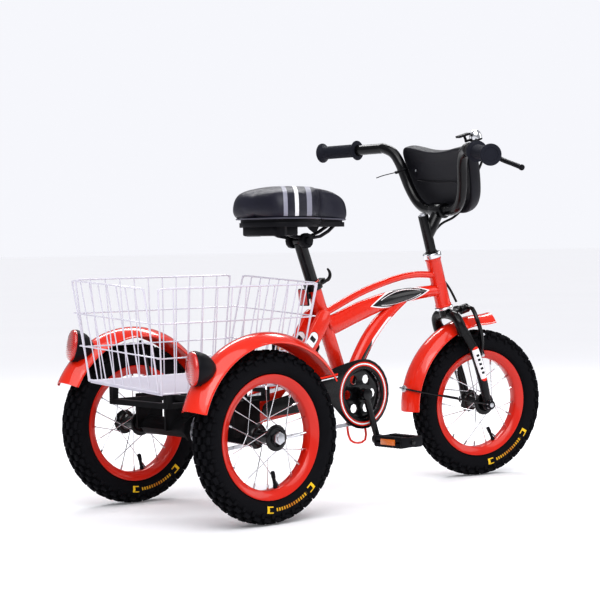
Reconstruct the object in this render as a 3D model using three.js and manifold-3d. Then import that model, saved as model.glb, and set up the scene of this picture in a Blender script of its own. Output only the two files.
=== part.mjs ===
// A child's tricycle with a rear basket, in millimetres, +Z up and +X forward.
// The pieces are placed with the rear axle at x = 0, and the whole is then centred on its own box.
import * as THREE from 'three';
import { mergeVertices } from 'three/addons/utils/BufferGeometryUtils.js';
import { ConvexGeometry } from 'three/addons/geometries/ConvexGeometry.js';
import Module from 'manifold-3d';

const wasm = await Module();
wasm.setup();

// ---- Driving dimensions ----
const GAP = 0.3; // between two pieces that touch
const SLIP = 0.4; // radial play of what turns or slides

// Wheels, all three alike
const TYRE_RADIUS = 157;
const TYRE_HALF_WIDTH = 25.5;
const TYRE_WALL = 5;
const RIM_RADIUS = 112;
const RIM_DEPTH = 16;
const RIM_HALF_WIDTH = 16.6;
const HUB_RADIUS = 12;
const HUB_HALF_WIDTH = 28;
const FLANGE_RADIUS = 24;
const SPOKE_RADIUS = 1.5;
const SPOKE_PAIRS = 10;
const WHEEL_SIDES = 28;
const WHEELBASE = 755.8;
const REAR_TRACK = 409.3;

// Steering
const STEER_TILT = 16.62;
const STEER_RAKE = 28.1;
const REST_TURN = -11.4; // turned to the right at rest
const HEAD_TUBE_RADIUS = 16;
const HEAD_TUBE_LOW = 226.8; // heights along the steering axis, from the front wheel's centre
const HEAD_TUBE_HIGH = 334.4;
const STEERER_RADIUS = 12.7;
const QUILL_RADIUS = 11;
const QUILL_BOTTOM = 290;
const QUILL_TOP = 428;
const LEG_SPREAD = 44;
const LEG_SPREAD_LOW = 38.5;
const LEG_RADIUS_TOP = 11;
const LEG_RADIUS_BOTTOM = 9;
const CROWN_HEIGHT = 208;
const FRONT_AXLE_RADIUS = 5;
const BOLT_RADIUS = 3.5;
const BRAKE_PIVOT_HEIGHT = 205;
const BRAKE_REACH = 48;
const PAD_HALF_LENGTH = 14;
const ARM_RADIUS = 4.6;
const BAR_RADIUS = 11;
const BAR_SLIP = 0.6; // what clamps on the faceted bar is bored a little wider
const BAR_REACH = 42;
const BAR_LOW = 425.5;
const BAR_BEND = new THREE.Vector3(38, 155, 561); // where the straight grip end starts
const BAR_END = new THREE.Vector3(-20.3, 316, 566);
const GRIP_RADIUS = 14;
const GRIP_FLANGE_RADIUS = 21.5;
const GRIP_LENGTH = 100;
const BAG_BACK = 58.6;
const BAG_DEPTH = 34;
const BAG_TOP = 558;
const BAG_BOTTOM = 414;
const BAG_HALF_TOP = 118;
const BAG_HALF_BOTTOM = 70;

// Frame
const BRACKET_X = 380;
const BRACKET_Z = 201;
const SHELL_RADIUS = 19;
const SHELL_HALF_WIDTH = 34;
const SEAT_TILT = 20.8;
const SEAT_TUBE_RADIUS = 14.3;
const SEAT_TUBE_LENGTH = 243;
const POST_RADIUS = 12.5;
const POST_INSERT = 75;
const POST_SHOWN = 86;
const STAY_INNER = 14.7; // the flat stays lie on each side of the seat tube
const STAY_THICKNESS = 10;
const STAY_HALF_HEIGHT = 16.5;
const CHAIN_STAY_HALF_HEIGHT = 9;

// Drive
const CHAIN_LINE = -41;
const CHAIN_WIDTH = 6;
const CHAIN_HALF_HEIGHT = 3.6;
const TOOTH_GAP = 1;
const CHAINRING_PITCH_RADIUS = 56.6;
const SPROCKET_PITCH_RADIUS = 40.4;
const SPINDLE_RADIUS = 8;
const CRANK_LENGTH = 97;
const CRANK_ANGLE = -71; // of the right crank, from +X towards +Z
const CRANK_SPREAD = 59;
const PEDAL_SPREAD = 118;
const PEDAL_WIDTH = 80;
const PEDAL_LENGTH = 58;
const PEDAL_HEIGHT = 22;
const GUARD_OUTER = 70;
const GUARD_HOLE = 50;
const GUARD_FACE = -46.5;
const GUARD_THICKNESS = 2.5;

// Rear axle and its carrier
const SHAFT_RADIUS = 8;
const HOUSING_RADIUS = 18;
const HOUSING_HALF_WIDTH = 152;
const CARRIER_PLATE = 6;
const CROSS_BAR_Z = 214;
const FRONT_BAR_RISE = 15; // lifts the front bar clear of the chain
const RAIL_SPREAD = 84;

// Fenders
const FENDER_EDGE_RADIUS = 170;
const FENDER_CROWN = 17;
const FENDER_HALF_WIDTH = 33;
const FRONT_FENDER_HALF_WIDTH = 31;
const FENDER_WALL = 1.6;
const FENDER_SIDES = 44;
const REAR_FENDER_FROM = 33; // degrees about the axle, from +X towards +Z
const REAR_FENDER_TO = 162;
const LEFT_FENDER_TURN = -10;
const FRONT_FENDER_FROM = 66;
const FRONT_FENDER_TO = 166.5;
const STAY_ANGLE = 152; // of the front fender's wire stay
const LAMP_ANGLE = 142;
const LAMP_STANDOFF = 214;
const LAMP_RADIUS = 31;
const LAMP_YAW = 20; // both lamps look back and a little to the left

// Basket
const BASKET_X = -3;
const BASKET_Z = 244;
const BASKET_ROLL = 3.5;
const BASKET_LENGTH = 320;
const BASKET_WIDTH = 232;
const BASKET_HEIGHT = 193;
const BASKET_WALL = 4;
const SIDE_FLARE = 15;
const END_FLARE = 41;
const SIDE_PANEL_SPREAD = 24;

// Saddle
const SADDLE_LENGTH = 248;
const SADDLE_HALF_WIDTH = 83;
const SADDLE_NOSE = 22;
const SADDLE_BASE_Z = 545;
const SADDLE_TOP_Z = 612;
const SADDLE_MIDDLE_X = 262;

const ORIGIN_X = 351;

// ---- Materials ----
const paint = (color, roughness, metalness = 0) =>
  new THREE.MeshStandardMaterial({ color, roughness, metalness });
const RED = paint(0xd8200f, 0.3);
const BLACK = paint(0x0c0c0e, 0.35);
const RUBBER = paint(0x141416, 0.8);
const WHITE = paint(0xe9e9ec, 0.35);
const CHROME = paint(0xc9ccd2, 0.15, 1);
const STEEL = paint(0x8b8d92, 0.35, 1);
const VINYL = paint(0x1b1b22, 0.5);
const LENS = paint(0xc01810, 0.15);

// ---- Solids ----
const vec = (x, y, z) => new THREE.Vector3(x, y, z);
const degrees = THREE.MathUtils.degToRad;

function toSolid(geometry) {
  const bare = geometry.clone();
  for (const name of Object.keys(bare.attributes)) {
    if (name !== 'position') bare.deleteAttribute(name);
  }
  const merged = mergeVertices(bare, 1e-4);
  const at = merged.attributes.position;
  const corner = [vec(0, 0, 0), vec(0, 0, 0), vec(0, 0, 0)];
  const triangles = [];
  let volume = 0;
  for (let i = 0; i < merged.index.count; i += 3) {
    const face = [0, 1, 2].map((k) => merged.index.getX(i + k));
    if (new Set(face).size < 3) continue;
    face.forEach((v, k) => corner[k].fromBufferAttribute(at, v));
    volume += corner[0].dot(corner[1].clone().cross(corner[2]));
    triangles.push(...face);
  }
  if (volume < 0) triangles.reverse();
  return new wasm.Manifold(new wasm.Mesh({
    numProp: 3,
    vertProperties: new Float32Array(at.array),
    triVerts: new Uint32Array(triangles),
  }));
}

function toGeometry(solid) {
  const data = solid.getMesh();
  const geometry = new THREE.BufferGeometry();
  geometry.setAttribute('position', new THREE.BufferAttribute(data.vertProperties, 3));
  geometry.setIndex(new THREE.BufferAttribute(data.triVerts, 1));
  return geometry;
}

function join(...geometries) {
  return toGeometry(geometries.map(toSolid).reduce((all, one) => all.add(one)));
}

function cut(body, ...tools) {
  return toGeometry(tools.map(toSolid).reduce((left, tool) => left.subtract(tool), toSolid(body)));
}

function overlap(a, b) {
  return toGeometry(toSolid(a).intersect(toSolid(b)));
}

function piece(name, geometry, material) {
  const shape = toGeometry(toSolid(geometry));
  shape.computeVertexNormals();
  const mesh = new THREE.Mesh(shape, material);
  mesh.name = name;
  return mesh;
}

function rod(from, to, radius, sides = 16, endRadius = radius) {
  const along = to.clone().sub(from);
  const geometry = new THREE.CylinderGeometry(endRadius, radius, along.length(), sides);
  const turn = new THREE.Quaternion().setFromUnitVectors(vec(0, 1, 0), along.normalize());
  geometry.applyQuaternion(turn);
  return geometry.translate(...from.clone().add(to).multiplyScalar(0.5).toArray());
}

function block(low, high) {
  const size = high.clone().sub(low);
  const middle = low.clone().add(high).multiplyScalar(0.5);
  return new THREE.BoxGeometry(size.x, size.y, size.z).translate(...middle.toArray());
}

function circle(radius, sides) {
  const shape = new THREE.Shape();
  for (let i = 0; i < sides; i++) {
    const angle = (i / sides) * 2 * Math.PI;
    const move = i === 0 ? 'moveTo' : 'lineTo';
    shape[move](radius * Math.cos(angle), radius * Math.sin(angle));
  }
  return shape.closePath();
}

function tube(points, radius, steps, sides = 10) {
  const path = new THREE.CatmullRomCurve3(points, false, 'centripetal');
  return new THREE.ExtrudeGeometry(circle(radius, sides), {
    steps, extrudePath: path, bevelEnabled: false,
  });
}

// A tube in the XZ plane whose half width (along Y) and half height change from point to point.
function taperedTube(points, halfWidths, halfHeights, steps, sides = 14) {
  const path = new THREE.CatmullRomCurve3(points, false, 'centripetal');
  const sizeAt = (sizes, t) => {
    const place = t * (sizes.length - 1);
    const low = Math.min(Math.floor(place), sizes.length - 2);
    return THREE.MathUtils.lerp(sizes[low], sizes[low + 1], place - low);
  };
  const vertices = [];
  const faces = [];
  for (let i = 0; i <= steps; i++) {
    const t = i / steps;
    const middle = path.getPoint(t);
    const along = path.getTangent(t);
    const up = vec(-along.z, 0, along.x).normalize();
    for (let k = 0; k < sides; k++) {
      const angle = (k / sides) * 2 * Math.PI;
      const point = middle.clone();
      point.y += Math.cos(angle) * sizeAt(halfWidths, t);
      point.addScaledVector(up, Math.sin(angle) * sizeAt(halfHeights, t));
      vertices.push(...point.toArray());
    }
  }
  for (let i = 0; i < steps; i++) {
    for (let k = 0; k < sides; k++) {
      const a = i * sides + k;
      const b = i * sides + ((k + 1) % sides);
      faces.push(a, b, a + sides, b, b + sides, a + sides);
    }
  }
  const last = steps * sides;
  for (let k = 1; k < sides - 1; k++) {
    faces.push(0, k + 1, k);
    faces.push(last, last + k, last + k + 1);
  }
  const geometry = new THREE.BufferGeometry();
  geometry.setAttribute('position', new THREE.Float32BufferAttribute(vertices, 3));
  geometry.setIndex(faces);
  return geometry;
}

// A ring or disc about the Y axis from a closed profile of [radius, y] pairs.
function turned(profile, sides = WHEEL_SIDES) {
  const points = profile.map(([radius, y]) => new THREE.Vector2(radius, y));
  const closed = profile[0][0] > 0 ? [...points, points[0].clone()] : points;
  return new THREE.LatheGeometry(closed, sides);
}

// A flat plate with its outline in the XZ plane, between two values of y.
function plate(shape, low, high, curveSegments = 12) {
  const geometry = new THREE.ExtrudeGeometry(shape, {
    depth: high - low, bevelEnabled: false, curveSegments,
  });
  return geometry.rotateX(Math.PI / 2).translate(0, high, 0);
}

// A strip with round ends along a curve, as an outline.
function ribbon(points, halfWidth, steps = 9) {
  const path = new THREE.SplineCurve(points.map(([x, z]) => new THREE.Vector2(x, z)));
  const left = [];
  const right = [];
  for (let i = 0; i <= steps; i++) {
    const at = path.getPoint(i / steps);
    const along = path.getTangent(i / steps);
    const side = new THREE.Vector2(-along.y, along.x).multiplyScalar(halfWidth);
    left.push(at.clone().add(side));
    right.unshift(at.clone().sub(side));
  }
  const cap = (middle, from) => [1, 2, 3].map((k) => {
    const arm = from.clone().sub(middle);
    return arm.rotateAround(new THREE.Vector2(0, 0), (-k / 4) * Math.PI).add(middle);
  });
  const end = cap(path.getPoint(1), left[steps]);
  const start = cap(path.getPoint(0), right[steps]);
  return new THREE.Shape([...left, ...end, ...right, ...start]);
}

// ---- Wheels ----
const mirrored = (profile) => [...profile].reverse().map(([radius, y]) => [radius, -y]);

function tyreShape() {
  const seat = RIM_RADIUS - 4;
  const wide = TYRE_HALF_WIDTH;
  const middle = (TYRE_RADIUS + RIM_RADIUS) / 2 + 3;
  const bead = RIM_HALF_WIDTH - 4;
  const outer = [[seat, bead], [RIM_RADIUS + 1.4, bead], [RIM_RADIUS + 5, bead + 6], [middle - 2, wide],
    [TYRE_RADIUS - 8, wide - 5], [TYRE_RADIUS, wide * 0.42]];
  const inner = [[TYRE_RADIUS - TYRE_WALL - 4, wide * 0.4], [middle - 4, wide - TYRE_WALL], [seat, bead - TYRE_WALL]];
  return turned([...outer, ...mirrored(outer), ...mirrored(inner), ...inner]);
}

function rimShape() {
  const inner = RIM_RADIUS - RIM_DEPTH;
  const lip = RIM_HALF_WIDTH;
  const side = [[inner, lip - 5], [RIM_RADIUS, lip], [RIM_RADIUS + 1, lip - 3.3], [RIM_RADIUS - 5, lip - 3.7]];
  return turned([...side, ...mirrored(side)]);
}

function spokesShape(bore) {
  const flange = HUB_HALF_WIDTH;
  const hub = turned([[bore, flange], [bore, -flange], [FLANGE_RADIUS, -flange], [FLANGE_RADIUS, 3 - flange],
    [HUB_RADIUS, 6 - flange], [HUB_RADIUS, flange - 6], [FLANGE_RADIUS, flange - 3], [FLANGE_RADIUS, flange]], 12);
  const spokes = [];
  const reach = (RIM_RADIUS - RIM_DEPTH) * Math.cos(Math.PI / WHEEL_SIDES) - 3 * GAP;
  for (let i = 0; i < 2 * SPOKE_PAIRS; i++) {
    const side = i % 2 === 0 ? 1 : -1;
    const lead = side;
    const angle = (i / (2 * SPOKE_PAIRS)) * 2 * Math.PI;
    const root = angle - lead * degrees(52);
    const from = vec((FLANGE_RADIUS - 3) * Math.cos(root), side * (flange - 1.6), (FLANGE_RADIUS - 3) * Math.sin(root));
    const to = vec(reach * Math.cos(angle), side * 2, reach * Math.sin(angle));
    spokes.push(rod(from, to, SPOKE_RADIUS, 3));
  }
  return join(hub, ...spokes);
}

function wheel(name, bore) {
  const group = new THREE.Group();
  group.add(piece(`${name}_tyre`, tyreShape(), RUBBER));
  group.add(piece(`${name}_rim`, rimShape(), RED));
  group.add(piece(`${name}_hub_spokes`, spokesShape(bore), STEEL));
  return group;
}

// ---- Fenders and lamps ----
function fenderSection(outward, halfWidth = FENDER_HALF_WIDTH) {
  const points = [];
  for (let i = -3; i <= 3; i++) {
    const share = i / 3;
    const radius = FENDER_EDGE_RADIUS + FENDER_CROWN * (1 - share * share) + outward;
    points.push([radius, share * (halfWidth + (outward > 0 ? 0.6 : 0))]);
  }
  return points;
}

function fender(from, to, halfWidth) {
  const section = [...fenderSection(FENDER_WALL, halfWidth), ...fenderSection(0, halfWidth).reverse()];
  const ring = turned(section, FENDER_SIDES);
  const reach = 1.6 * TYRE_RADIUS;
  const wedge = new THREE.Shape([new THREE.Vector2(0, 0)]);
  wedge.moveTo(0, 0);
  for (let i = 0; i <= 4; i++) {
    const angle = degrees(THREE.MathUtils.lerp(from, to, i / 4));
    wedge.lineTo(reach * Math.cos(angle), reach * Math.sin(angle));
  }
  wedge.closePath();
  return overlap(ring, plate(wedge, -60, 60));
}

// A bullet lamp looking back along -X, with its lens end at x = 0.
function lamp() {
  const r = LAMP_RADIUS;
  const body = turned([[0, 0], [r - 5, 0], [r, 5], [r, 12], [r * 0.8, 30], [r * 0.5, 44], [0, 50]], 14);
  return body.rotateZ(-Math.PI / 2 - degrees(LAMP_YAW));
}

function rearFender(name, side) {
  const group = new THREE.Group();
  group.position.set(0, (side * REAR_TRACK) / 2, TYRE_RADIUS);
  if (side > 0) group.rotation.y = degrees(-LEFT_FENDER_TURN);
  group.add(piece(`${name}_fender`, fender(REAR_FENDER_FROM, REAR_FENDER_TO, FENDER_HALF_WIDTH), RED));
  const light = piece(`${name}_lamp`, cut(lamp().translate(
    (LAMP_STANDOFF + 4) * Math.cos(degrees(LAMP_ANGLE)), 0, LAMP_STANDOFF * Math.sin(degrees(LAMP_ANGLE))),
  turned([...fenderSection(FENDER_WALL + GAP), [90, FENDER_HALF_WIDTH + 2], [90, -FENDER_HALF_WIDTH - 2]], FENDER_SIDES)), LENS);
  group.add(light);
  return group;
}

// ---- Frame ----
const BRACKET = vec(BRACKET_X, 0, BRACKET_Z);
const seatUp = vec(-Math.sin(degrees(SEAT_TILT)), 0, Math.cos(degrees(SEAT_TILT)));
const onSeatTube = (height) => BRACKET.clone().addScaledVector(seatUp, height);
const steerUp = vec(-Math.sin(degrees(STEER_TILT)), 0, Math.cos(degrees(STEER_TILT)));
const steerForward = vec(Math.cos(degrees(STEER_TILT)), 0, Math.sin(degrees(STEER_TILT)));
const STEER_ORIGIN = vec(WHEELBASE, 0, TYRE_RADIUS).addScaledVector(steerForward, -STEER_RAKE);
const onSteering = (height) => STEER_ORIGIN.clone().addScaledVector(steerUp, height);
const across = (y) => vec(0, y, 0);

function crossways(middle, low, high, radius, sides = 14) {
  return rod(middle.clone().add(across(low)), middle.clone().add(across(high)), radius, sides);
}

const shellSpace = () => crossways(BRACKET, -60, 60, SHELL_RADIUS + GAP, 18);
const seatTubeSpace = () => rod(onSeatTube(0), onSeatTube(SEAT_TUBE_LENGTH + 30), SEAT_TUBE_RADIUS + GAP, 16);
const headTubeSpace = () => rod(onSteering(HEAD_TUBE_LOW - 30), onSteering(HEAD_TUBE_HIGH + 30),
  HEAD_TUBE_RADIUS + GAP, 16);

function seatTube() {
  const outside = rod(onSeatTube(0), onSeatTube(SEAT_TUBE_LENGTH), SEAT_TUBE_RADIUS, 16);
  const bore = rod(onSeatTube(-30), onSeatTube(SEAT_TUBE_LENGTH + 10), POST_RADIUS + SLIP, 16);
  return cut(outside, bore, shellSpace());
}

function bottomBracketShell() {
  const shell = crossways(BRACKET, -SHELL_HALF_WIDTH, SHELL_HALF_WIDTH, SHELL_RADIUS, 18);
  const loopY = 8 - SHELL_HALF_WIDTH;
  const low = BRACKET_Z - 99;
  const loop = tube([vec(BRACKET_X - 13, loopY, BRACKET_Z - 10), vec(BRACKET_X - 20, loopY, low + 32),
    vec(BRACKET_X - 10, loopY, low + 4), vec(BRACKET_X + 22, loopY, low), vec(BRACKET_X + 30, loopY, low + 8),
    vec(BRACKET_X + 12, loopY, BRACKET_Z - 12)], 2.6, 20, 6);
  return cut(join(shell, loop), crossways(BRACKET, -50, 50, SPINDLE_RADIUS + SLIP, 20));
}

function headTube() {
  const outside = rod(onSteering(HEAD_TUBE_LOW), onSteering(HEAD_TUBE_HIGH), HEAD_TUBE_RADIUS, 16);
  return cut(outside, rod(onSteering(HEAD_TUBE_LOW - 5), onSteering(HEAD_TUBE_HIGH + 5), STEERER_RADIUS + SLIP, 16));
}

function headsetCup(low, high) {
  const outside = rod(onSteering(low), onSteering(high), HEAD_TUBE_RADIUS + 3.5, 16);
  return cut(outside, rod(onSteering(low - 5), onSteering(high + 5), STEERER_RADIUS + SLIP, 16));
}

const headJoint = () => onSteering((HEAD_TUBE_LOW + HEAD_TUBE_HIGH) / 2 - 18);

function mainTubeSolid(grow) {
  const start = onSeatTube(142);
  const end = headJoint();
  const points = [start, vec(352, 0, 341), vec(425, 0, 365), vec(512, 0, 387), vec(595, 0, 396.5), end];
  const widths = [14, 15, 15, 14, 12.5, 11.5].map((size) => size + grow);
  const heights = [20, 20, 19.5, 16, 13, 11.5].map((size) => size + grow);
  return taperedTube(points, widths, heights, 12, 12);
}

function mainTube() {
  return cut(mainTubeSolid(0), seatTubeSpace(), headTubeSpace());
}

function upperTube() {
  const points = [onSeatTube(168), vec(345, 0, 371), vec(425, 0, 401.5), vec(512, 0, 425), vec(578, 0, 434.5),
    onSteering(296)];
  return cut(tube(points, 7, 14, 8), seatTubeSpace(), headTubeSpace(), mainTubeSolid(GAP));
}

function downTube() {
  const points = [BRACKET, vec(405, 0, 248), vec(437, 0, 297), vec(470, 0, 333), vec(505, 0, 361), vec(528, 0, 376)];
  const body = taperedTube(points, [13, 13, 13, 12.5, 11, 9], [16, 16, 16, 15.5, 13, 9], 9, 12);
  return cut(body, shellSpace(), seatTubeSpace(), mainTubeSolid(GAP));
}

const STAY_LINE = [[306, 356], [268, 302], [215, 250], [165, 205], [128, 168]];
const CHAIN_STAY_LINE = [[BRACKET_X, BRACKET_Z], [300, 190], [215, 178], [128, 168]];

function stay(side) {
  const low = side > 0 ? STAY_INNER : -STAY_INNER - STAY_THICKNESS;
  const body = plate(ribbon(STAY_LINE, STAY_HALF_HEIGHT), low, low + STAY_THICKNESS);
  return body;
}

function chainStays() {
  const reach = STAY_INNER + STAY_THICKNESS;
  const strip = ribbon(CHAIN_STAY_LINE, CHAIN_STAY_HALF_HEIGHT);
  const sides = plate(strip, -reach, reach);
  const between = block(vec(80, -STAY_INNER, 100), vec(308, STAY_INNER, 300));
  const front = block(vec(322, -STAY_INNER, 100), vec(460, STAY_INNER, 300));
  const stays = plate(ribbon(STAY_LINE, STAY_HALF_HEIGHT + GAP), -reach - 5, reach + 5);
  return cut(sides, between, front, shellSpace(), stays);
}

function chainGuard() {
  const x = BRACKET_X + 4;
  const z = BRACKET_Z;
  const shape = new THREE.Shape();
  const from = degrees(228);
  shape.moveTo(x + GUARD_OUTER * Math.cos(from), z + GUARD_OUTER * Math.sin(from));
  shape.absarc(x, z, GUARD_OUTER, from, degrees(460), false);
  shape.quadraticCurveTo(x - 60, z + 62, x - 88, z + 52);
  shape.quadraticCurveTo(x - 150, z + 26, x - 190, z + 12);
  shape.lineTo(x - 246, z + 2);
  shape.absarc(x - 248, z - 14, 14, degrees(90), degrees(270), false);
  shape.lineTo(x - 150, z - 24);
  shape.quadraticCurveTo(x - 100, z - 18, x - 86, z - 14);
  shape.closePath();
  const hole = new THREE.Path();
  hole.absarc(x, z, GUARD_HOLE, 0, 2 * Math.PI, true);
  shape.holes.push(hole);
  return plate(shape, GUARD_FACE - GUARD_THICKNESS, GUARD_FACE, 9);
}

// The outline that a belt takes round the two toothed wheels, at an offset from the pitch line.
function chainOutline(offset) {
  const big = CHAINRING_PITCH_RADIUS + offset;
  const small = SPROCKET_PITCH_RADIUS + offset;
  const span = Math.hypot(BRACKET_X, BRACKET_Z - TYRE_RADIUS);
  const slope = Math.atan2(BRACKET_Z - TYRE_RADIUS, BRACKET_X);
  const lean = Math.asin((big - small) / span);
  const top = Math.PI / 2 + lean + slope;
  const low = -Math.PI / 2 - lean + slope;
  const points = [];
  for (let i = 0; i <= 12; i++) {
    const angle = low + ((top - low) * i) / 12;
    points.push(new THREE.Vector2(BRACKET_X + big * Math.cos(angle), BRACKET_Z + big * Math.sin(angle)));
  }
  for (let i = 0; i <= 8; i++) {
    const angle = top + ((low + 2 * Math.PI - top) * i) / 8;
    points.push(new THREE.Vector2(small * Math.cos(angle), TYRE_RADIUS + small * Math.sin(angle)));
  }
  return points;
}

function chain() {
  const shape = new THREE.Shape(chainOutline(CHAIN_HALF_HEIGHT));
  shape.holes.push(new THREE.Path(chainOutline(-CHAIN_HALF_HEIGHT)));
  return plate(shape, CHAIN_LINE - CHAIN_WIDTH / 2, CHAIN_LINE + CHAIN_WIDTH / 2);
}

// ---- Rear axle carrier ----
function axleHousing() {
  const reach = HOUSING_HALF_WIDTH;
  const axle = vec(0, 0, TYRE_RADIUS);
  const inner = STAY_INNER - GAP;
  const cheek = ribbon([[0, TYRE_RADIUS], [60, 172], [128, 178]], 24);
  const barHalf = 9;
  const parts = [
    crossways(axle, inner - CARRIER_PLATE, reach, HOUSING_RADIUS),
    crossways(axle, -reach, -62, HOUSING_RADIUS),
    plate(cheek, inner - CARRIER_PLATE, inner),
    plate(cheek, -inner, CARRIER_PLATE - inner),
    block(vec(-barHalf, -reach, CROSS_BAR_Z - 5), vec(barHalf, reach, CROSS_BAR_Z + 5)),
    block(vec(100, -inner, 182), vec(112, inner, 196)),
  ];
  for (const y of [-reach, -68, 55, reach - CARRIER_PLATE]) {
    parts.push(block(vec(-30, y, TYRE_RADIUS - 4), vec(30, y + CARRIER_PLATE, CROSS_BAR_Z + 5)));
  }
  for (const side of [-1, 1]) {
    parts.push(basketPost(side, -128));
    parts.push(basketPost(side, 100));
    parts.push(rod(vec(0, side * (reach - 5), CROSS_BAR_Z), vec(0, side * (reach - 5), CROSS_BAR_Z + 40), 4, 8));
    parts.push(rod(vec(0, side * (reach - 5), CROSS_BAR_Z + 38),
      vec(0, side * (REAR_TRACK / 2 - FENDER_HALF_WIDTH + 1), TYRE_RADIUS + FENDER_EDGE_RADIUS - 8), 4, 8));
  }
  parts.push(block(vec(-134, -RAIL_SPREAD, CROSS_BAR_Z - 5), vec(-122, RAIL_SPREAD, CROSS_BAR_Z + 5)));
  parts.push(block(vec(94, -RAIL_SPREAD, CROSS_BAR_Z - 4 + FRONT_BAR_RISE),
    vec(106, RAIL_SPREAD, CROSS_BAR_Z + 4 + FRONT_BAR_RISE)));
  for (const side of [-1, 1]) {
    const rail = side * RAIL_SPREAD;
    parts.push(block(vec(-134, rail - 6, CROSS_BAR_Z - 5), vec(106, rail + 6, CROSS_BAR_Z + 5)));
  }
  return cut(join(...parts), crossways(axle, -reach - 10, reach + 10, SHAFT_RADIUS + SLIP));
}

function basketPost(side, x) {
  const y = side * RAIL_SPREAD;
  const under = BASKET_Z + y * Math.tan(degrees(BASKET_ROLL)) - 6 * Math.tan(degrees(BASKET_ROLL)) - 2 * GAP;
  return block(vec(x - 6, y - 6, CROSS_BAR_Z - 5), vec(x + 6, y + 6, under));
}

function rearShaft() {
  const axle = vec(0, 0, TYRE_RADIUS);
  const end = REAR_TRACK / 2 + HUB_HALF_WIDTH + 14;
  const nut = (side) => crossways(axle, side * (end - 3), side * (REAR_TRACK / 2 + HUB_HALF_WIDTH + GAP), 12, 6);
  return join(crossways(axle, -end, end, SHAFT_RADIUS, 16), nut(-1), nut(1));
}

function toothed(pitchRadius, holes, holeRadius, holeCircle) {
  const shape = circle(pitchRadius - CHAIN_HALF_HEIGHT - TOOTH_GAP, 24);
  for (let i = 0; i < holes; i++) {
    const angle = (i / holes) * 2 * Math.PI;
    const hole = new THREE.Path();
    hole.absarc(holeCircle * Math.cos(angle), holeCircle * Math.sin(angle), holeRadius, 0, 2 * Math.PI, true);
    shape.holes.push(hole);
  }
  const disc = plate(shape, CHAIN_LINE - 1.5, CHAIN_LINE + 1.5, 4);
  return cut(disc, crossways(vec(0, 0, 0), CHAIN_LINE - 5, CHAIN_LINE + 5, SPINDLE_RADIUS + SLIP, 16));
}

// ---- Cranks and pedals ----
function crankEnd(side) {
  const angle = degrees(CRANK_ANGLE);
  return vec(-side * CRANK_LENGTH * Math.cos(angle), side * CRANK_SPREAD, -side * CRANK_LENGTH * Math.sin(angle));
}

function cranks() {
  const parts = [crossways(vec(0, 0, 0), -CRANK_SPREAD, CRANK_SPREAD, SPINDLE_RADIUS, 16)];
  for (const side of [-1, 1]) {
    const end = crankEnd(side);
    parts.push(rod(across(side * CRANK_SPREAD), end, 7.5, 8, 6.5));
    parts.push(crossways(vec(0, 0, 0), side * (CRANK_SPREAD - 7), side * (CRANK_SPREAD + 8), 12, 12));
    const hub = vec(end.x, 0, end.z);
    parts.push(crossways(hub, side * (CRANK_SPREAD - 7), side * (CRANK_SPREAD + 7), 10, 12));
    parts.push(crossways(hub, side * CRANK_SPREAD, side * (PEDAL_SPREAD + PEDAL_WIDTH / 2 + 4), 5, 10));
  }
  return join(...parts);
}

function pedal(side) {
  const length = PEDAL_LENGTH / 2;
  const low = PEDAL_SPREAD - PEDAL_WIDTH / 2;
  const height = PEDAL_HEIGHT / 2;
  const shape = new THREE.Shape();
  shape.moveTo(-length, -height + 5);
  shape.lineTo(-length + 5, -height);
  shape.lineTo(length - 5, -height);
  shape.lineTo(length, -height + 5);
  shape.lineTo(length, height - 5);
  shape.lineTo(length - 5, height);
  shape.lineTo(-length + 5, height);
  shape.lineTo(-length, height - 5);
  shape.closePath();
  const sides = [side * low, side * (low + PEDAL_WIDTH)].sort((a, b) => a - b);
  return cut(plate(shape, ...sides), crossways(vec(0, 0, 0), side * (low - 5), side * (low + PEDAL_WIDTH + 9),
    5 + SLIP, 10));
}

// ---- Seat ----
function seatCollar() {
  const ring = rod(onSeatTube(SEAT_TUBE_LENGTH - 17), onSeatTube(SEAT_TUBE_LENGTH - 2), 18.5, 20);
  const lug = block(vec(14, -8, -15), vec(29, 8, -4)).rotateY(-degrees(SEAT_TILT));
  lug.translate(...onSeatTube(SEAT_TUBE_LENGTH).toArray());
  return cut(join(ring, lug), seatTubeSpace());
}

function quickRelease() {
  const points = [vec(24, -12, -9.5), vec(30, -15, -8), vec(35, -17, -3), vec(37, -17, 5), vec(35, -16, 13)];
  return tube(points, 3.4, 10, 8);
}

function seatPost() {
  const shaft = rod(vec(0, 0, -POST_INSERT), vec(0, 0, POST_SHOWN - 4), POST_RADIUS, 16);
  const head = crossways(vec(0, 0, POST_SHOWN), -14, 14, 11, 16);
  return join(shaft, head);
}

function saddleOutline(inset) {
  const half = SADDLE_HALF_WIDTH - inset;
  const back = -SADDLE_LENGTH / 2 + inset;
  const nose = SADDLE_LENGTH / 2 - inset;
  const tip = SADDLE_NOSE - inset / 2;
  const shape = new THREE.Shape();
  shape.moveTo(back, 0);
  shape.bezierCurveTo(back, half * 0.5, back + 4, half, back + 52, half);
  shape.bezierCurveTo(back + 120, half, back + 120, tip, nose - tip - 18, tip + 2);
  shape.bezierCurveTo(nose - 8, tip, nose, tip * 0.7, nose, 0);
  shape.bezierCurveTo(nose, -tip * 0.7, nose - 8, -tip, nose - tip - 18, -tip - 2);
  shape.bezierCurveTo(back + 120, -tip, back + 120, -half, back + 52, -half);
  shape.bezierCurveTo(back + 4, -half, back, -half * 0.5, back, 0);
  return shape;
}

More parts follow.
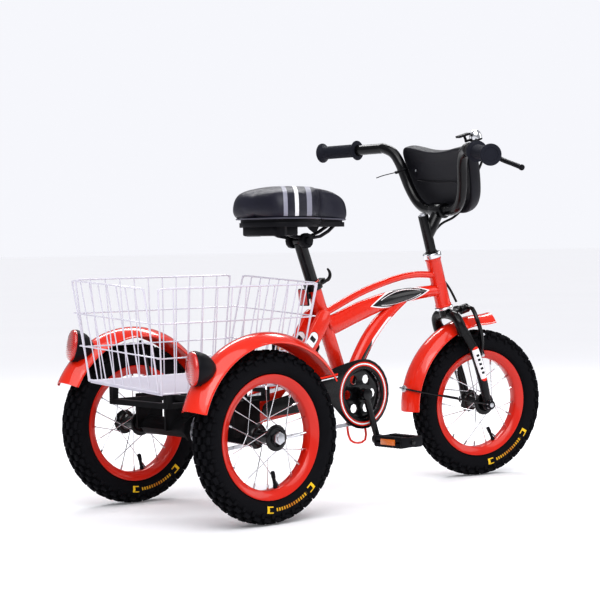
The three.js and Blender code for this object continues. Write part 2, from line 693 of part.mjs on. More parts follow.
function saddleCushion() {
  const rounding = 14;
  const depth = SADDLE_TOP_Z - SADDLE_BASE_Z - rounding;
  const geometry = new THREE.ExtrudeGeometry(saddleOutline(rounding), {
    depth, curveSegments: 6, bevelThickness: rounding, bevelSize: rounding, bevelSegments: 3,
  });
  const whole = geometry.translate(SADDLE_MIDDLE_X, 0, SADDLE_BASE_Z);
  return cut(whole, block(vec(0, -200, 400), vec(600, 200, SADDLE_BASE_Z)));
}

function saddleBase() {
  const pan = new THREE.ExtrudeGeometry(saddleOutline(8), { depth: 9, curveSegments: 4, bevelEnabled: false });
  pan.translate(SADDLE_MIDDLE_X, 0, SADDLE_BASE_Z - 9 - GAP);
  const top = SADDLE_BASE_Z - 5;
  const parts = [pan];
  const pivot = onSeatTube(SEAT_TUBE_LENGTH + POST_SHOWN);
  for (const side of [-1, 1]) {
    const y = side * 19;
    parts.push(tube([vec(SADDLE_MIDDLE_X + 88, side * 9, top), vec(SADDLE_MIDDLE_X + 45, side * 16, pivot.z + 9),
      vec(SADDLE_MIDDLE_X - 30, y, pivot.z + 8), vec(SADDLE_MIDDLE_X - 84, side * 26, top)], 3.5, 7, 6));
    parts.push(crossways(pivot, side * (14 + SLIP), side * 25, 15, 12));
    parts.push(crossways(pivot, side * 25, side * 31, 8, 6));
    parts.push(rod(vec(SADDLE_MIDDLE_X - 82, side * 40, top), vec(SADDLE_MIDDLE_X - 82, side * 40, top - 22), 14, 10));
  }
  return join(...parts);
}

function rearReflector() {
  const at = onSeatTube(SEAT_TUBE_LENGTH - 30);
  const arm = block(vec(-30, -3, -4), vec(-SEAT_TUBE_RADIUS + 4, 3, 4));
  const face = block(vec(-36, -13, -16), vec(-29, 13, 16));
  const whole = join(arm, face).rotateY(-degrees(6)).translate(...at.toArray());
  return cut(whole, seatTubeSpace());
}

// ---- Basket ----
// A flat panel between a low edge and a high edge, each given by its two ends.
function panel(lowA, lowB, highA, highB, outward) {
  const back = outward.clone().multiplyScalar(BASKET_WALL);
  const corners = [lowA, lowB, highA, highB];
  return new ConvexGeometry([...corners, ...corners.map((corner) => corner.clone().add(back))]);
}

function basket() {
  const group = new THREE.Group();
  group.position.set(BASKET_X, 0, BASKET_Z);
  group.rotation.x = degrees(BASKET_ROLL);
  const length = BASKET_LENGTH / 2;
  const width = BASKET_WIDTH / 2;
  const base = BASKET_WALL + GAP;
  const inside = width - BASKET_WALL - GAP;
  group.add(piece('basket_floor', block(vec(-length, -inside, 0), vec(length, inside, BASKET_WALL)), WHITE));
  for (const [name, side] of [['basket_left', 1], ['basket_right', -1]]) {
    const top = length + SIDE_PANEL_SPREAD;
    const low = width - BASKET_WALL;
    group.add(piece(name, panel(vec(-length, side * low, 0), vec(length, side * low, 0),
      vec(-top, side * (low + SIDE_FLARE), BASKET_HEIGHT), vec(top, side * (low + SIDE_FLARE), BASKET_HEIGHT),
      vec(0, side, 0)), WHITE));
  }
  for (const [name, side] of [['basket_front', 1], ['basket_rear', -1]]) {
    const low = length + GAP;
    const half = width - BASKET_WALL - 2;
    group.add(piece(name, panel(vec(side * low, -half, base), vec(side * low, half, base),
      vec(side * (low + END_FLARE), -half - 3, BASKET_HEIGHT), vec(side * (low + END_FLARE), half + 3, BASKET_HEIGHT),
      vec(side, 0, 0)), WHITE));
  }
  return group;
}

// ---- Steering assembly, in its own frame: x forward, z up the steering axis, front hub at z = 0 ----
function fork() {
  const spread = LEG_SPREAD;
  const low = LEG_SPREAD_LOW;
  const leg = [vec(2, spread, 182), vec(14, spread, 150), vec(24, spread, 112), vec(29, low + 2, 45),
    vec(STEER_RAKE, low, -8)];
  const radii = [LEG_RADIUS_TOP, LEG_RADIUS_TOP, LEG_RADIUS_TOP, LEG_RADIUS_BOTTOM, LEG_RADIUS_BOTTOM - 1];
  const parts = [];
  for (const side of [-1, 1]) {
    const line = leg.map((point) => vec(point.x, side * point.y, point.z));
    parts.push(taperedTube(line, radii.map((radius) => radius * 0.95), radii, 6, 8));
  }
  parts.push(tube([vec(2.5, -spread, 178), vec(2, -spread + 2, 192), vec(3, -spread + 14, CROWN_HEIGHT - 2),
    vec(4, 0, CROWN_HEIGHT + 1), vec(3, spread - 14, CROWN_HEIGHT - 2), vec(2, spread - 2, 192),
    vec(2.5, spread, 178)], LEG_RADIUS_TOP - 0.4, 10, 8));
  parts.push(rod(vec(0, 0, CROWN_HEIGHT), vec(0, 0, HEAD_TUBE_HIGH + 15), STEERER_RADIUS, 16));
  parts.push(rod(vec(4, 0, BRAKE_PIVOT_HEIGHT), vec(BRAKE_REACH + 14, 0, BRAKE_PIVOT_HEIGHT), BOLT_RADIUS, 10));
  const hub = vec(STEER_RAKE, 0, 0);
  return cut(join(...parts), crossways(hub, -80, 80, FRONT_AXLE_RADIUS + GAP, 12),
    rod(vec(0, 0, QUILL_BOTTOM - 10), vec(0, 0, HEAD_TUBE_HIGH + 20), QUILL_RADIUS + GAP, 16));
}

function frontAxle() {
  const hub = vec(STEER_RAKE, 0, 0);
  const face = LEG_SPREAD_LOW + LEG_RADIUS_BOTTOM;
  const end = face + 9;
  const nut = (side) => crossways(hub, side * (face + GAP), side * (end - 2), 10, 6);
  return join(crossways(hub, -end, end, FRONT_AXLE_RADIUS, 12), nut(-1), nut(1));
}

function fenderStay() {
  const edge = FRONT_FENDER_HALF_WIDTH + 5;
  const at = (radius, angle, y) => vec(STEER_RAKE + radius * Math.cos(degrees(angle)), y, radius * Math.sin(degrees(angle)));
  const side = LEG_SPREAD_LOW + LEG_RADIUS_BOTTOM + 4;
  return tube([at(14, STAY_ANGLE - 1, -side), at(60, STAY_ANGLE, -side + 2), at(165, STAY_ANGLE, -edge),
    at(186, STAY_ANGLE, -edge + 4), at(FENDER_EDGE_RADIUS + FENDER_CROWN + 5, STAY_ANGLE, 0),
    at(186, STAY_ANGLE, edge - 4), at(165, STAY_ANGLE, edge), at(60, STAY_ANGLE, side - 2),
    at(14, STAY_ANGLE - 1, side)], 2, 22, 5);
}

function stem() {
  const bar = vec(BAR_REACH, 0, BAR_LOW);
  const quill = rod(vec(0, 0, QUILL_BOTTOM), vec(0, 0, QUILL_TOP), QUILL_RADIUS, 16);
  const cap = rod(vec(0, 0, QUILL_TOP - 2), vec(0, 0, QUILL_TOP + 4), 6.5, 6);
  const reach = rod(vec(0, 0, 392), bar, 10.5, 12, 9.5);
  const clamp = crossways(bar, -21, 21, 16, 20);
  return cut(join(quill, cap, reach, clamp), crossways(bar, -40, 40, BAR_RADIUS + BAR_SLIP, 14));
}

const BAR_STRAIGHT = BAR_END.clone().sub(BAR_BEND).length();

// A point on the straight outer part of the handlebar, by its distance from the bend.
function onBar(side, distance) {
  const along = BAR_END.clone().sub(BAR_BEND).normalize();
  const point = BAR_BEND.clone().addScaledVector(along, distance);
  point.y *= side;
  return point;
}

function barPoints(side) {
  return [vec(BAR_REACH, side * 8, BAR_LOW), vec(BAR_REACH, side * 26, BAR_LOW), vec(42, side * 50, 427.5),
    vec(42.7, side * 70, 436),
    vec(43.6, side * 86, 451), vec(44.3, side * 99, 474), vec(45, side * 108, 500), vec(45.3, side * 116, 526),
    vec(44, side * 131, 549), ...[0, 9, 20, 60, BAR_STRAIGHT].map((distance) => onBar(side, distance))];
}

function handlebar() {
  const right = barPoints(-1).reverse();
  return tube([...right, ...barPoints(1)], BAR_RADIUS, 40, 8);
}

const barSpace = (side) => rod(onBar(side, -30), onBar(side, BAR_STRAIGHT + GAP), BAR_RADIUS + BAR_SLIP, 14);

function grip(side) {
  const start = BAR_STRAIGHT - GRIP_LENGTH;
  const sleeve = rod(onBar(side, start), onBar(side, BAR_STRAIGHT + 3), GRIP_RADIUS, 14);
  const inner = rod(onBar(side, start), onBar(side, start + 4), GRIP_FLANGE_RADIUS, 14);
  const outer = rod(onBar(side, BAR_STRAIGHT - 2), onBar(side, BAR_STRAIGHT + 3), GRIP_FLANGE_RADIUS, 14);
  return cut(join(sleeve, inner, outer), barSpace(side));
}

const LEVER_PLACE = 46;
const leverPivot = () => onBar(-1, LEVER_PLACE).add(vec(26, 0, -13));

function leverClamp() {
  const ring = rod(onBar(-1, LEVER_PLACE - 8), onBar(-1, LEVER_PLACE + 8), BAR_RADIUS + 4.5, 14);
  const pivot = leverPivot();
  const arm = rod(onBar(-1, LEVER_PLACE), pivot.clone().add(vec(-8, 0, 4)), 8, 10);
  return cut(join(ring, arm), barSpace(-1));
}

function brakeLever() {
  const pivot = leverPivot();
  return tube([pivot, pivot.clone().add(vec(5, -18, -2)), vec(47, -253, 537), vec(46, -290, 528),
    vec(45.5, -318, 521)], 5, 14, 8);
}

function brakeCable() {
  return tube([vec(48, -186, 544), vec(62, -166, 550), vec(84, -142, 544), vec(99, -112, 520), vec(103, -60, 474),
    vec(103, -14, 424), vec(82, 8, 400), vec(56, 26, 390), vec(38, 42, 368), vec(30, 47, 330), vec(33, 43, 290),
    vec(44, 31, 250), vec(50, 25, 218)], 2.5, 34, 8);
}

const BELL_PLACE = 27;
const BELL = vec(47, -181, 578);

function bell() {
  const ring = rod(onBar(-1, BELL_PLACE - 5), onBar(-1, BELL_PLACE + 5), BAR_RADIUS + 3.5, 14);
  const post = rod(onBar(-1, BELL_PLACE).add(vec(6, 0, 6)), BELL, 4, 8);
  const dome = turned([[0, -2], [13, -2], [13, 8], [11, 14], [6, 18.5], [0, 20]], 14);
  dome.rotateX(Math.PI / 2).translate(BELL.x, BELL.y, BELL.z);
  return cut(join(ring, post, dome), barSpace(-1));
}

function bellThumb() {
  const post = rod(vec(BELL.x - 13.5 - 10, BELL.y, BELL.z + 1), vec(BELL.x - 13.5 - 13, BELL.y, BELL.z + 16), 2.6, 8);
  const pad = block(vec(BELL.x - 42, BELL.y - 7, BELL.z + 14), vec(BELL.x - 15, BELL.y + 7, BELL.z + 18));
  const root = block(vec(BELL.x - 26, BELL.y - 3, BELL.z + 1), vec(BELL.x - 13 - GAP, BELL.y + 3, BELL.z + 5));
  return join(post, pad, root);
}

function bag() {
  const rounding = 9;
  const shape = new THREE.Shape();
  const top = BAG_TOP - rounding;
  const low = BAG_BOTTOM + rounding;
  const wide = BAG_HALF_TOP - rounding;
  const narrow = BAG_HALF_BOTTOM - rounding;
  shape.moveTo(-narrow, low);
  shape.lineTo(narrow, low);
  shape.quadraticCurveTo(wide - 12, low + 4, wide - 4, low + 50);
  shape.lineTo(wide, top - 12);
  shape.quadraticCurveTo(wide, top, wide - 14, top);
  shape.lineTo(-wide + 14, top);
  shape.quadraticCurveTo(-wide, top, -wide, top - 12);
  shape.lineTo(-wide + 4, low + 50);
  shape.quadraticCurveTo(-wide + 12, low + 4, -narrow, low);
  const geometry = new THREE.ExtrudeGeometry(shape, {
    depth: BAG_DEPTH - 2 * rounding, curveSegments: 5, bevelThickness: rounding, bevelSize: rounding, bevelSegments: 2,
  });
  geometry.translate(0, 0, BAG_BACK + rounding);
  const axes = new THREE.Matrix4().makeBasis(vec(0, 1, 0), vec(0, 0, 1), vec(1, 0, 0));
  return geometry.applyMatrix4(axes);
}

function caliperArm(side) {
  const near = side > 0 ? BRAKE_REACH - 2 * ARM_RADIUS - GAP : BRAKE_REACH + GAP;
  const boss = rod(vec(near, 0, BRAKE_PIVOT_HEIGHT), vec(near + 2 * ARM_RADIUS, 0, BRAKE_PIVOT_HEIGHT), 10, 12);
  const layer = near + ARM_RADIUS;
  const face = RIM_HALF_WIDTH + 1.5;
  const radius = RIM_RADIUS - RIM_DEPTH / 2 + 3;
  const padX = BRAKE_REACH - 4;
  const padZ = Math.sqrt(radius ** 2 - (padX - STEER_RAKE) ** 2);
  const arm = tube([vec(layer, side * 3, BRAKE_PIVOT_HEIGHT + 2), vec(layer, side * 24, BRAKE_PIVOT_HEIGHT + 2),
    vec(BRAKE_REACH, side * 41, 186), vec(BRAKE_REACH, side * 45, 150), vec(BRAKE_REACH - 1, side * 36, padZ + 12),
    vec(padX, side * (face + 6), padZ)], ARM_RADIUS, 12, 7);
  const low = side > 0 ? face : -face - 8;
  const pad = block(vec(padX - PAD_HALF_LENGTH, low, padZ - 4.5), vec(padX + PAD_HALF_LENGTH, low + 8, padZ + 4.5));
  const bore = rod(vec(0, 0, BRAKE_PIVOT_HEIGHT), vec(80, 0, BRAKE_PIVOT_HEIGHT), BOLT_RADIUS + SLIP, 10);
  return cut(join(boss, arm, pad), bore);
}

function frontFender() {
  return fender(FRONT_FENDER_FROM, FRONT_FENDER_TO, FRONT_FENDER_HALF_WIDTH).translate(STEER_RAKE, 0, 0);
}

// ---- Assembly ----
function steering() {
  const axis = new THREE.Group();
  axis.position.copy(STEER_ORIGIN);
  axis.rotation.y = -degrees(STEER_TILT);
  const turning = new THREE.Group();
  turning.rotation.z = degrees(REST_TURN);
  axis.add(turning);
  turning.add(piece('fork', fork(), BLACK));
  turning.add(piece('front_axle', frontAxle(), STEEL));
  turning.add(piece('front_fender', frontFender(), RED));
  turning.add(piece('fender_stay', fenderStay(), BLACK));
  turning.add(piece('stem', stem(), BLACK));
  turning.add(piece('handlebar', handlebar(), BLACK));
  turning.add(piece('grip_left', grip(1), RUBBER));
  turning.add(piece('grip_right', grip(-1), RUBBER));
  turning.add(piece('lever_clamp', leverClamp(), BLACK));
  turning.add(piece('brake_lever', brakeLever(), BLACK));
  turning.add(piece('brake_cable', brakeCable(), BLACK));
  turning.add(piece('bell', bell(), CHROME));
  turning.add(piece('bell_thumb', bellThumb(), BLACK));
  turning.add(piece('bag', bag(), VINYL));
  turning.add(piece('caliper_arm_left', caliperArm(1), BLACK));
  turning.add(piece('caliper_arm_right', caliperArm(-1), BLACK));
  const front = wheel('front', FRONT_AXLE_RADIUS + SLIP);
  front.position.set(STEER_RAKE, 0, 0);
  turning.add(front);
  return axis;
}

function frame() {
  const group = new THREE.Group();
  group.add(piece('seat_tube', seatTube(), RED));
  group.add(piece('bottom_bracket_shell', bottomBracketShell(), RED));
  group.add(piece('head_tube', headTube(), RED));
  group.add(piece('headset_lower', headsetCup(HEAD_TUBE_LOW - 5.5, HEAD_TUBE_LOW - GAP), CHROME));
  group.add(piece('headset_upper', headsetCup(HEAD_TUBE_HIGH + GAP, HEAD_TUBE_HIGH + 11), CHROME));
  group.add(piece('main_tube', mainTube(), RED));
  group.add(piece('upper_tube', upperTube(), RED));
  group.add(piece('down_tube', downTube(), RED));
  group.add(piece('stay_left', stay(1), RED));
  group.add(piece('stay_right', stay(-1), RED));
  group.add(piece('chain_stays', chainStays(), RED));
  group.add(piece('chain_guard', chainGuard(), BLACK));
  group.add(piece('chain', chain(), STEEL));
  group.add(piece('axle_housing', axleHousing(), BLACK));
  group.add(piece('seat_collar', seatCollar(), BLACK));
  group.add(piece('rear_reflector', rearReflector(), LENS));
  group.add(rearFender('left', 1));
  group.add(rearFender('right', -1));
  group.add(basket());
  return group;
}

function drive() {
  const group = new THREE.Group();
  group.add(piece('rear_shaft', rearShaft(), STEEL));
  group.add(piece('rear_sprocket', toothed(SPROCKET_PITCH_RADIUS, 5, 5, 22).translate(0, 0, TYRE_RADIUS), BLACK));
  const centre = new THREE.Group();
  centre.position.copy(BRACKET);
  centre.add(piece('cranks', cranks(), BLACK));
  centre.add(piece('chainring', toothed(CHAINRING_PITCH_RADIUS, 6, 9.5, 33), BLACK));
  group.add(centre);
  for (const [name, side] of [['pedal_left', 1], ['pedal_right', -1]]) {
    const place = new THREE.Group();
    const end = crankEnd(side);
    place.position.set(BRACKET_X + end.x, 0, BRACKET_Z + end.z);
    place.add(piece(name, pedal(side), BLACK));
    group.add(place);
  }
  for (const [name, side] of [['left', 1], ['right', -1]]) {
    const rear = wheel(name, SHAFT_RADIUS + SLIP);
    rear.position.set(0, (side * REAR_TRACK) / 2, TYRE_RADIUS);
    group.add(rear);
  }
  return group;
}

function seat() {
  const group = new THREE.Group();
  const post = new THREE.Group();
  post.position.copy(onSeatTube(SEAT_TUBE_LENGTH));
  post.rotation.y = -degrees(SEAT_TILT);
  post.add(piece('seat_post', seatPost(), BLACK));
  post.add(piece('quick_release_lever', quickRelease(), BLACK));
  group.add(post);
  group.add(piece('saddle_base', saddleBase(), BLACK));
  group.add(piece('saddle_cushion', saddleCushion(), VINYL));
  return group;
}

const tricycle = new THREE.Group();
tricycle.name = 'childrens_tricycle';
tricycle.position.set(-ORIGIN_X, 0, 0);
tricycle.add(frame(), drive(), seat(), steering());

export default tricycle;
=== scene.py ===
# %% [markdown]
# # A child's tricycle with a wire basket
# The CAD model comes in as a fixed frame. Each part that the eye rests on is modelled again with
# its real detail, and the flat metal parts keep their CAD shape with softened edges. Every piece
# is drawn in millimetres in the natural frame of its own assembly (a wheel lies round its axle,
# the handlebar stands on the steering axis) and then put in its place, so one recipe serves all
# three wheels.

# %% Load the frame
import math
import bmesh
import bpy
from mathutils import Matrix, Vector


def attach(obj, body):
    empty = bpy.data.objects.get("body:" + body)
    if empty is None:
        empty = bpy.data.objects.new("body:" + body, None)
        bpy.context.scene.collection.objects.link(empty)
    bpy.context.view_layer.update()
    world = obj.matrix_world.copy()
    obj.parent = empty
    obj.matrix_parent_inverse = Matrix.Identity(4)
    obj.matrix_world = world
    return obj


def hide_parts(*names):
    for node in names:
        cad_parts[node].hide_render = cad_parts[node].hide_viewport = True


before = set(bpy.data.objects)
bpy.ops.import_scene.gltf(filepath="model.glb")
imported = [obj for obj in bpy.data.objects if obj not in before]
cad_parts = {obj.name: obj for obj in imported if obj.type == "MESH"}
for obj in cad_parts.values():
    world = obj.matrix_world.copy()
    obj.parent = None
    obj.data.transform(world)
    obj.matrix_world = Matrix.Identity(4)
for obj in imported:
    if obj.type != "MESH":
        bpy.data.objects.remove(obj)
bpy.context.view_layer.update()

# %% [markdown]
# ## The frames that the assemblies are drawn in
# A tricycle is drawn from its axles. The rear axle stands at x = 0, the steering axis leans back
# and carries its own frame, which is turned a little to the right. Matrices that hold the
# millimetre scale let every piece be drawn in plain numbers.

# %% Driving sizes and places
TYRE_RADIUS = 157.0
REAR_TRACK = 409.3
WHEELBASE = 755.8
STEER_TILT = 16.62
STEER_RAKE = 28.1
REST_TURN = -11.4
SEAT_TILT = 20.8
BRACKET = Vector((380.0, 0.0, 201.0))
BASE = Matrix.Translation((-0.351, 0, 0)) @ Matrix.Scale(0.001, 4)


def turn(degrees, axis):
    return Matrix.Rotation(math.radians(degrees), 4, axis)


def shift(x, y, z):
    return Matrix.Translation((x, y, z))


forward = turn(-STEER_TILT, "Y") @ Vector((1, 0, 0))
steer_foot = Vector((WHEELBASE, 0, TYRE_RADIUS)) - STEER_RAKE * forward
LEAN = Matrix.Translation(steer_foot) @ turn(-STEER_TILT, "Y")
STEERING = BASE @ LEAN @ turn(REST_TURN, "Z")
HEAD = BASE @ LEAN
SEAT = BASE @ Matrix.Translation(BRACKET) @ turn(-SEAT_TILT, "Y")
BASKET = BASE @ shift(-3, 0, 244) @ turn(3.5, "X")
FRONT_HUB = STEERING @ shift(STEER_RAKE, 0, 0)
HUBS = {
    "left": BASE @ shift(0, REAR_TRACK / 2, TYRE_RADIUS),
    "right": BASE @ shift(0, -REAR_TRACK / 2, TYRE_RADIUS),
    "front": FRONT_HUB,
}
SIDES = {"left": 1, "right": -1}
WHEEL_BODY = {"left": "left_wheel", "right": "drive_axle", "front": "front_wheel"}
print("front hub at", [round(v, 3) for v in FRONT_HUB.translation])

# %% [markdown]
# ## Tools for modelling
# Each helper below does what a hand does in Blender: add a primitive, go into edit mode, extrude,
# spin or bevel, and come out. `placed` writes the drawing coordinates to an attribute before it
# moves the mesh, so a pattern can be laid out in the part's own millimetres and still follow it
# anywhere.


# %% Modelling helpers
def deselect():
    if bpy.context.object and bpy.context.object.mode != "OBJECT":
        bpy.ops.object.mode_set(mode="OBJECT")
    bpy.ops.object.select_all(action="DESELECT")


def pick(*objects):
    deselect()
    for chosen in objects:
        chosen.select_set(True)
    bpy.context.view_layer.objects.active = objects[0]
    return objects[0]


def into_edit_mode(piece):
    """Goes into edit mode with the whole mesh selected."""
    pick(piece)
    bpy.ops.object.mode_set(mode="EDIT")
    bpy.ops.mesh.select_all(action="SELECT")


def modified(piece, kind, **settings):
    pick(piece)
    modifier = piece.modifiers.new(kind.title(), kind)
    for name, value in settings.items():
        setattr(modifier, name, value)
    bpy.ops.object.modifier_apply(modifier=modifier.name)
    return piece


def bevelled(piece, width, segments=2, angle=40):
    return modified(piece, "BEVEL", width=width, segments=segments, limit_method="ANGLE",
                    angle_limit=math.radians(angle), use_clamp_overlap=True)


def smooth(piece, angle=40):
    pick(piece)
    bpy.ops.object.shade_smooth_by_angle(angle=math.radians(angle))
    return piece


def cleaned(piece, threshold=0.01):
    into_edit_mode(piece)
    bpy.ops.mesh.remove_doubles(threshold=threshold)
    bpy.ops.mesh.normals_make_consistent(inside=False)
    bpy.ops.object.mode_set(mode="OBJECT")
    return piece


def joined(name, *pieces):
    pick(*pieces)
    if len(pieces) > 1:
        bpy.ops.object.join()
    whole = bpy.context.object
    whole.name = name
    return whole


def linked(name, data):
    made = bpy.data.objects.new(name, data)
    bpy.context.scene.collection.objects.link(made)
    return made


def copied(piece, name, matrix=Matrix.Identity(4)):
    twin = linked(name, piece.data.copy())
    twin.data.transform(matrix)
    if matrix.determinant() < 0:
        twin.data.flip_normals()
    return twin


def placed(piece, matrix, angle=40):
    """Keeps the drawing coordinates as the attribute "drawn", then moves the mesh into place."""
    drawn = piece.data.attributes.new("drawn", "FLOAT_VECTOR", "POINT")
    spots = [value for vertex in piece.data.vertices for value in vertex.co]
    drawn.data.foreach_set("vector", spots)
    piece.data.transform(matrix)
    return smooth(piece, angle)


def point_chain(points):
    """Draws a line of vertices, by extruding one vertex from point to point."""
    deselect()
    bpy.ops.mesh.primitive_plane_add(size=1)
    bpy.ops.object.mode_set(mode="EDIT")
    bpy.ops.mesh.merge(type="CENTER")
    bpy.ops.transform.translate(value=points[0])
    for here, there in zip(points, points[1:]):
        step = Vector(there) - Vector(here)
        bpy.ops.mesh.extrude_region_move(TRANSFORM_OT_translate={"value": step})
    return bpy.context.object


def turned(name, profile, steps=64, degrees=360, closed=True):
    """Spins a profile of (radius, y) points about the Y axis, from +X towards +Z."""
    points = [(radius, y, 0) for radius, y in profile]
    piece = point_chain(points + points[:1] if closed else points)
    bpy.ops.mesh.select_all(action="SELECT")
    bpy.ops.mesh.spin(steps=steps, angle=math.radians(degrees), center=(0, 0, 0), axis=(0, 1, 0))
    piece.name = name
    return cleaned(piece)


def ring_at(middle, along, half_width, half_height):
    """The frame of an oval ring on a tube that runs in the XZ plane, with its width along Y."""
    axis = Vector((along[0], 0, along[2])).normalized()
    up = Vector((-axis.z, 0, axis.x))
    columns = (half_height * up, Vector((0, half_width, 0)), axis)
    turned_ring = Matrix([column.to_tuple() for column in columns]).transposed().to_4x4()
    return Matrix.Translation(middle) @ turned_ring


def curve_through(points, count):
    """Evenly many points on a smooth curve through the given ones (Catmull-Rom)."""
    spots = [Vector(point) for point in points]
    ends = [2 * spots[0] - spots[1], *spots, 2 * spots[-1] - spots[-2]]
    result = []
    for i in range(count + 1):
        place = i / count * (len(spots) - 1)
        k = min(int(place), len(spots) - 2)
        t = place - k
        a, b, c, d = ends[k:k + 4]
        result.append(0.5 * ((2 * b) + (c - a) * t + (2 * a - 5 * b + 4 * c - d) * t * t
                             + (3 * b - a - 3 * c + d) * t ** 3))
    return result


def between(values, share):
    place = share * (len(values) - 1)
    k = min(int(place), len(values) - 2)
    return values[k] + (values[k + 1] - values[k]) * (place - k)


def swept(name, points, half_widths, half_heights, steps=30, sides=32):
    """An oval tube whose size changes along a curve in the XZ plane, extruded ring by ring."""
    path = curve_through(points, steps)
    rings = []
    for i, spot in enumerate(path):
        along = path[min(i + 1, steps)] - path[max(i - 1, 0)]
        rings.append(ring_at(spot, along, between(half_widths, i / steps),
                             between(half_heights, i / steps)))
    deselect()
    bpy.ops.mesh.primitive_circle_add(vertices=sides, radius=1, fill_type="NGON")
    piece = bpy.context.object
    bpy.ops.object.mode_set(mode="EDIT")
    mesh = bmesh.from_edit_mesh(piece.data)
    at = Matrix.Identity(4)
    for index, ring in enumerate(rings):
        if index:
            bpy.ops.mesh.extrude_region_move()
            mesh = bmesh.from_edit_mesh(piece.data)
        move = ring @ at.inverted()
        for vertex in mesh.verts:
            if vertex.select:
                vertex.co = move @ vertex.co
        at = ring
        bmesh.update_edit_mesh(piece.data)
    piece.name = name
    return cleaned(piece)


def wire(name, lines, radius, resolution=2, radii=None):
    """Round wires along lists of points, as one mesh."""
    curve = bpy.data.curves.new(name, "CURVE")
    curve.dimensions = "3D"
    curve.bevel_depth = radius
    curve.bevel_resolution = resolution
    curve.use_fill_caps = True
    for line in lines:
        spline = curve.splines.new("POLY")
        spline.points.add(len(line) - 1)
        for index, (point, spot) in enumerate(zip(spline.points, line)):
            point.co = (*spot, 1)
            point.radius = 1 if radii is None else between(radii, index / (len(line) - 1))
    pick(linked(name, curve))
    bpy.ops.object.convert(target="MESH")
    return cleaned(bpy.context.object, 0.001)


def pipe(name, points, radius, count=40, resolution=5, radii=None):
    return wire(name, [curve_through(points, count)], radius, resolution, radii)


def box(name, low, high, bevel=1.0, segments=2):
    """A box between two corners with rounded edges."""
    deselect()
    middle = [(a + b) / 2 for a, b in zip(low, high)]
    bpy.ops.mesh.primitive_cube_add(size=1, location=middle,
                                    scale=[b - a for a, b in zip(low, high)])
    piece = bpy.context.object
    bpy.ops.object.transform_apply(location=True, rotation=True, scale=True)
    piece.name = name
    return bevelled(piece, bevel, segments)


def rod(name, start, end, radius, bevel=0.8, sides=32):
    """A round bar between two points with broken edges."""
    start, end = Vector(start), Vector(end)
    deselect()
    bpy.ops.mesh.primitive_cylinder_add(vertices=sides, radius=radius, depth=(end - start).length)
    piece = bpy.context.object
    piece.data.transform(Matrix.Translation((start + end) / 2)
                         @ (end - start).to_track_quat("Z", "Y").to_matrix().to_4x4())
    piece.name = name
    return bevelled(piece, bevel) if bevel else piece


def from_cad(node, bevel=0.5):
    """A copy of a CAD node in its place, with flat faces merged and edges broken."""
    piece = copied(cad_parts[node], f"{node}_worked", BASE.inverted())
    into_edit_mode(piece)
    bpy.ops.mesh.remove_doubles(threshold=0.01)
    bpy.ops.mesh.dissolve_limited(angle_limit=math.radians(0.5))
    bpy.ops.object.mode_set(mode="OBJECT")
    bevelled(piece, bevel, 2, 35)
    return placed(piece, BASE, 35)


print("helpers ready")

# %% [markdown]
# ## Finishes
# A finish is a small sum of textures. `Sum` wraps one socket, so that the sums read as Python,
# and `Finish` holds one material: `node` adds any other node, and `show` plugs the results into
# the shader.


# %% Shader sums
class Sum:
    """One socket of a finish, which adds, multiplies and compares as a number does."""

    def __init__(self, finish, socket):
        self.finish = finish
        self.socket = socket

    def _math(self, operation, first, second=0.0):
        made = self.finish.node("Math", {"operation": operation}, {0: first, 1: second})
        return Sum(self.finish, made.outputs[0])

    def __add__(self, other):
        return self._math("ADD", self, other)

    def __radd__(self, other):
        return self._math("ADD", other, self)

    def __sub__(self, other):
        return self._math("SUBTRACT", self, other)

    def __rsub__(self, other):
        return self._math("SUBTRACT", other, self)

    def __mul__(self, other):
        return self._math("MULTIPLY", self, other)

    def __truediv__(self, other):
        return self._math("DIVIDE", self, other)

    def __gt__(self, other):
        return self._math("GREATER_THAN", self, other)

    def __lt__(self, other):
        return self._math("LESS_THAN", self, other)

    def call(self, operation, other=0.0):
        return self._math(operation, self, other)

    def inside(self, low, high):
        return (self > low) * (self < high)


class Finish:
    """A material with its constants on the shader, and sums for what varies."""

    def __init__(self, name, **constants):
        self.material = bpy.data.materials.new(name)
        self.material.use_nodes = True
        self.tree = self.material.node_tree
        self.shader = self.tree.nodes["Principled BSDF"]
        for socket, value in constants.items():
            self.feed(self.shader.inputs[socket.replace("_", " ")], value)

    def feed(self, socket, value):
        if isinstance(value, Sum):
            self.tree.links.new(value.socket, socket)
        elif isinstance(value, tuple) and len(value) == 3 and socket.type == "RGBA":
            socket.default_value = (*value, 1)
        else:
            socket.default_value = value

    def node(self, kind, settings=None, sockets=None):
        made = self.tree.nodes.new(f"ShaderNode{kind}")
        for name, value in (settings or {}).items():
            setattr(made, name, value)
        for key, value in (sockets or {}).items():
            self.feed(made.inputs[key], value)
        return made

    def out(self, kind, settings=None, sockets=None, output=0):
        return Sum(self, self.node(kind, settings, sockets).outputs[output])

    def drawn(self):
        """The drawing coordinates of the piece, in its own assembly's millimetres."""
        return self.out("Attribute", {"attribute_name": "drawn"}, output="Vector")

    def axes(self, vector):
        split = self.node("SeparateXYZ", sockets={0: vector})
        return [Sum(self, socket) for socket in split.outputs]

    def noise(self, vector, scale, detail=3.0, roughness=0.5):
        return self.out("TexNoise", sockets={"Vector": vector, "Scale": scale, "Detail": detail,
                                             "Roughness": roughness})

    def mix(self, share, first, second):
        made = self.node("Mix", {"data_type": "RGBA"}, {0: share, 6: first, 7: second})
        return Sum(self, made.outputs[2])

    def bump(self, height, distance, strength=1.0):
        """Raised work, with the distance in millimetres."""
        return self.out("Bump", sockets={"Height": height, "Distance": distance / 1000,
                                         "Strength": strength})

    def show(self, **sockets):
        for socket, value in sockets.items():
            self.feed(self.shader.inputs[socket.replace("_", " ")], value)
        return self.material


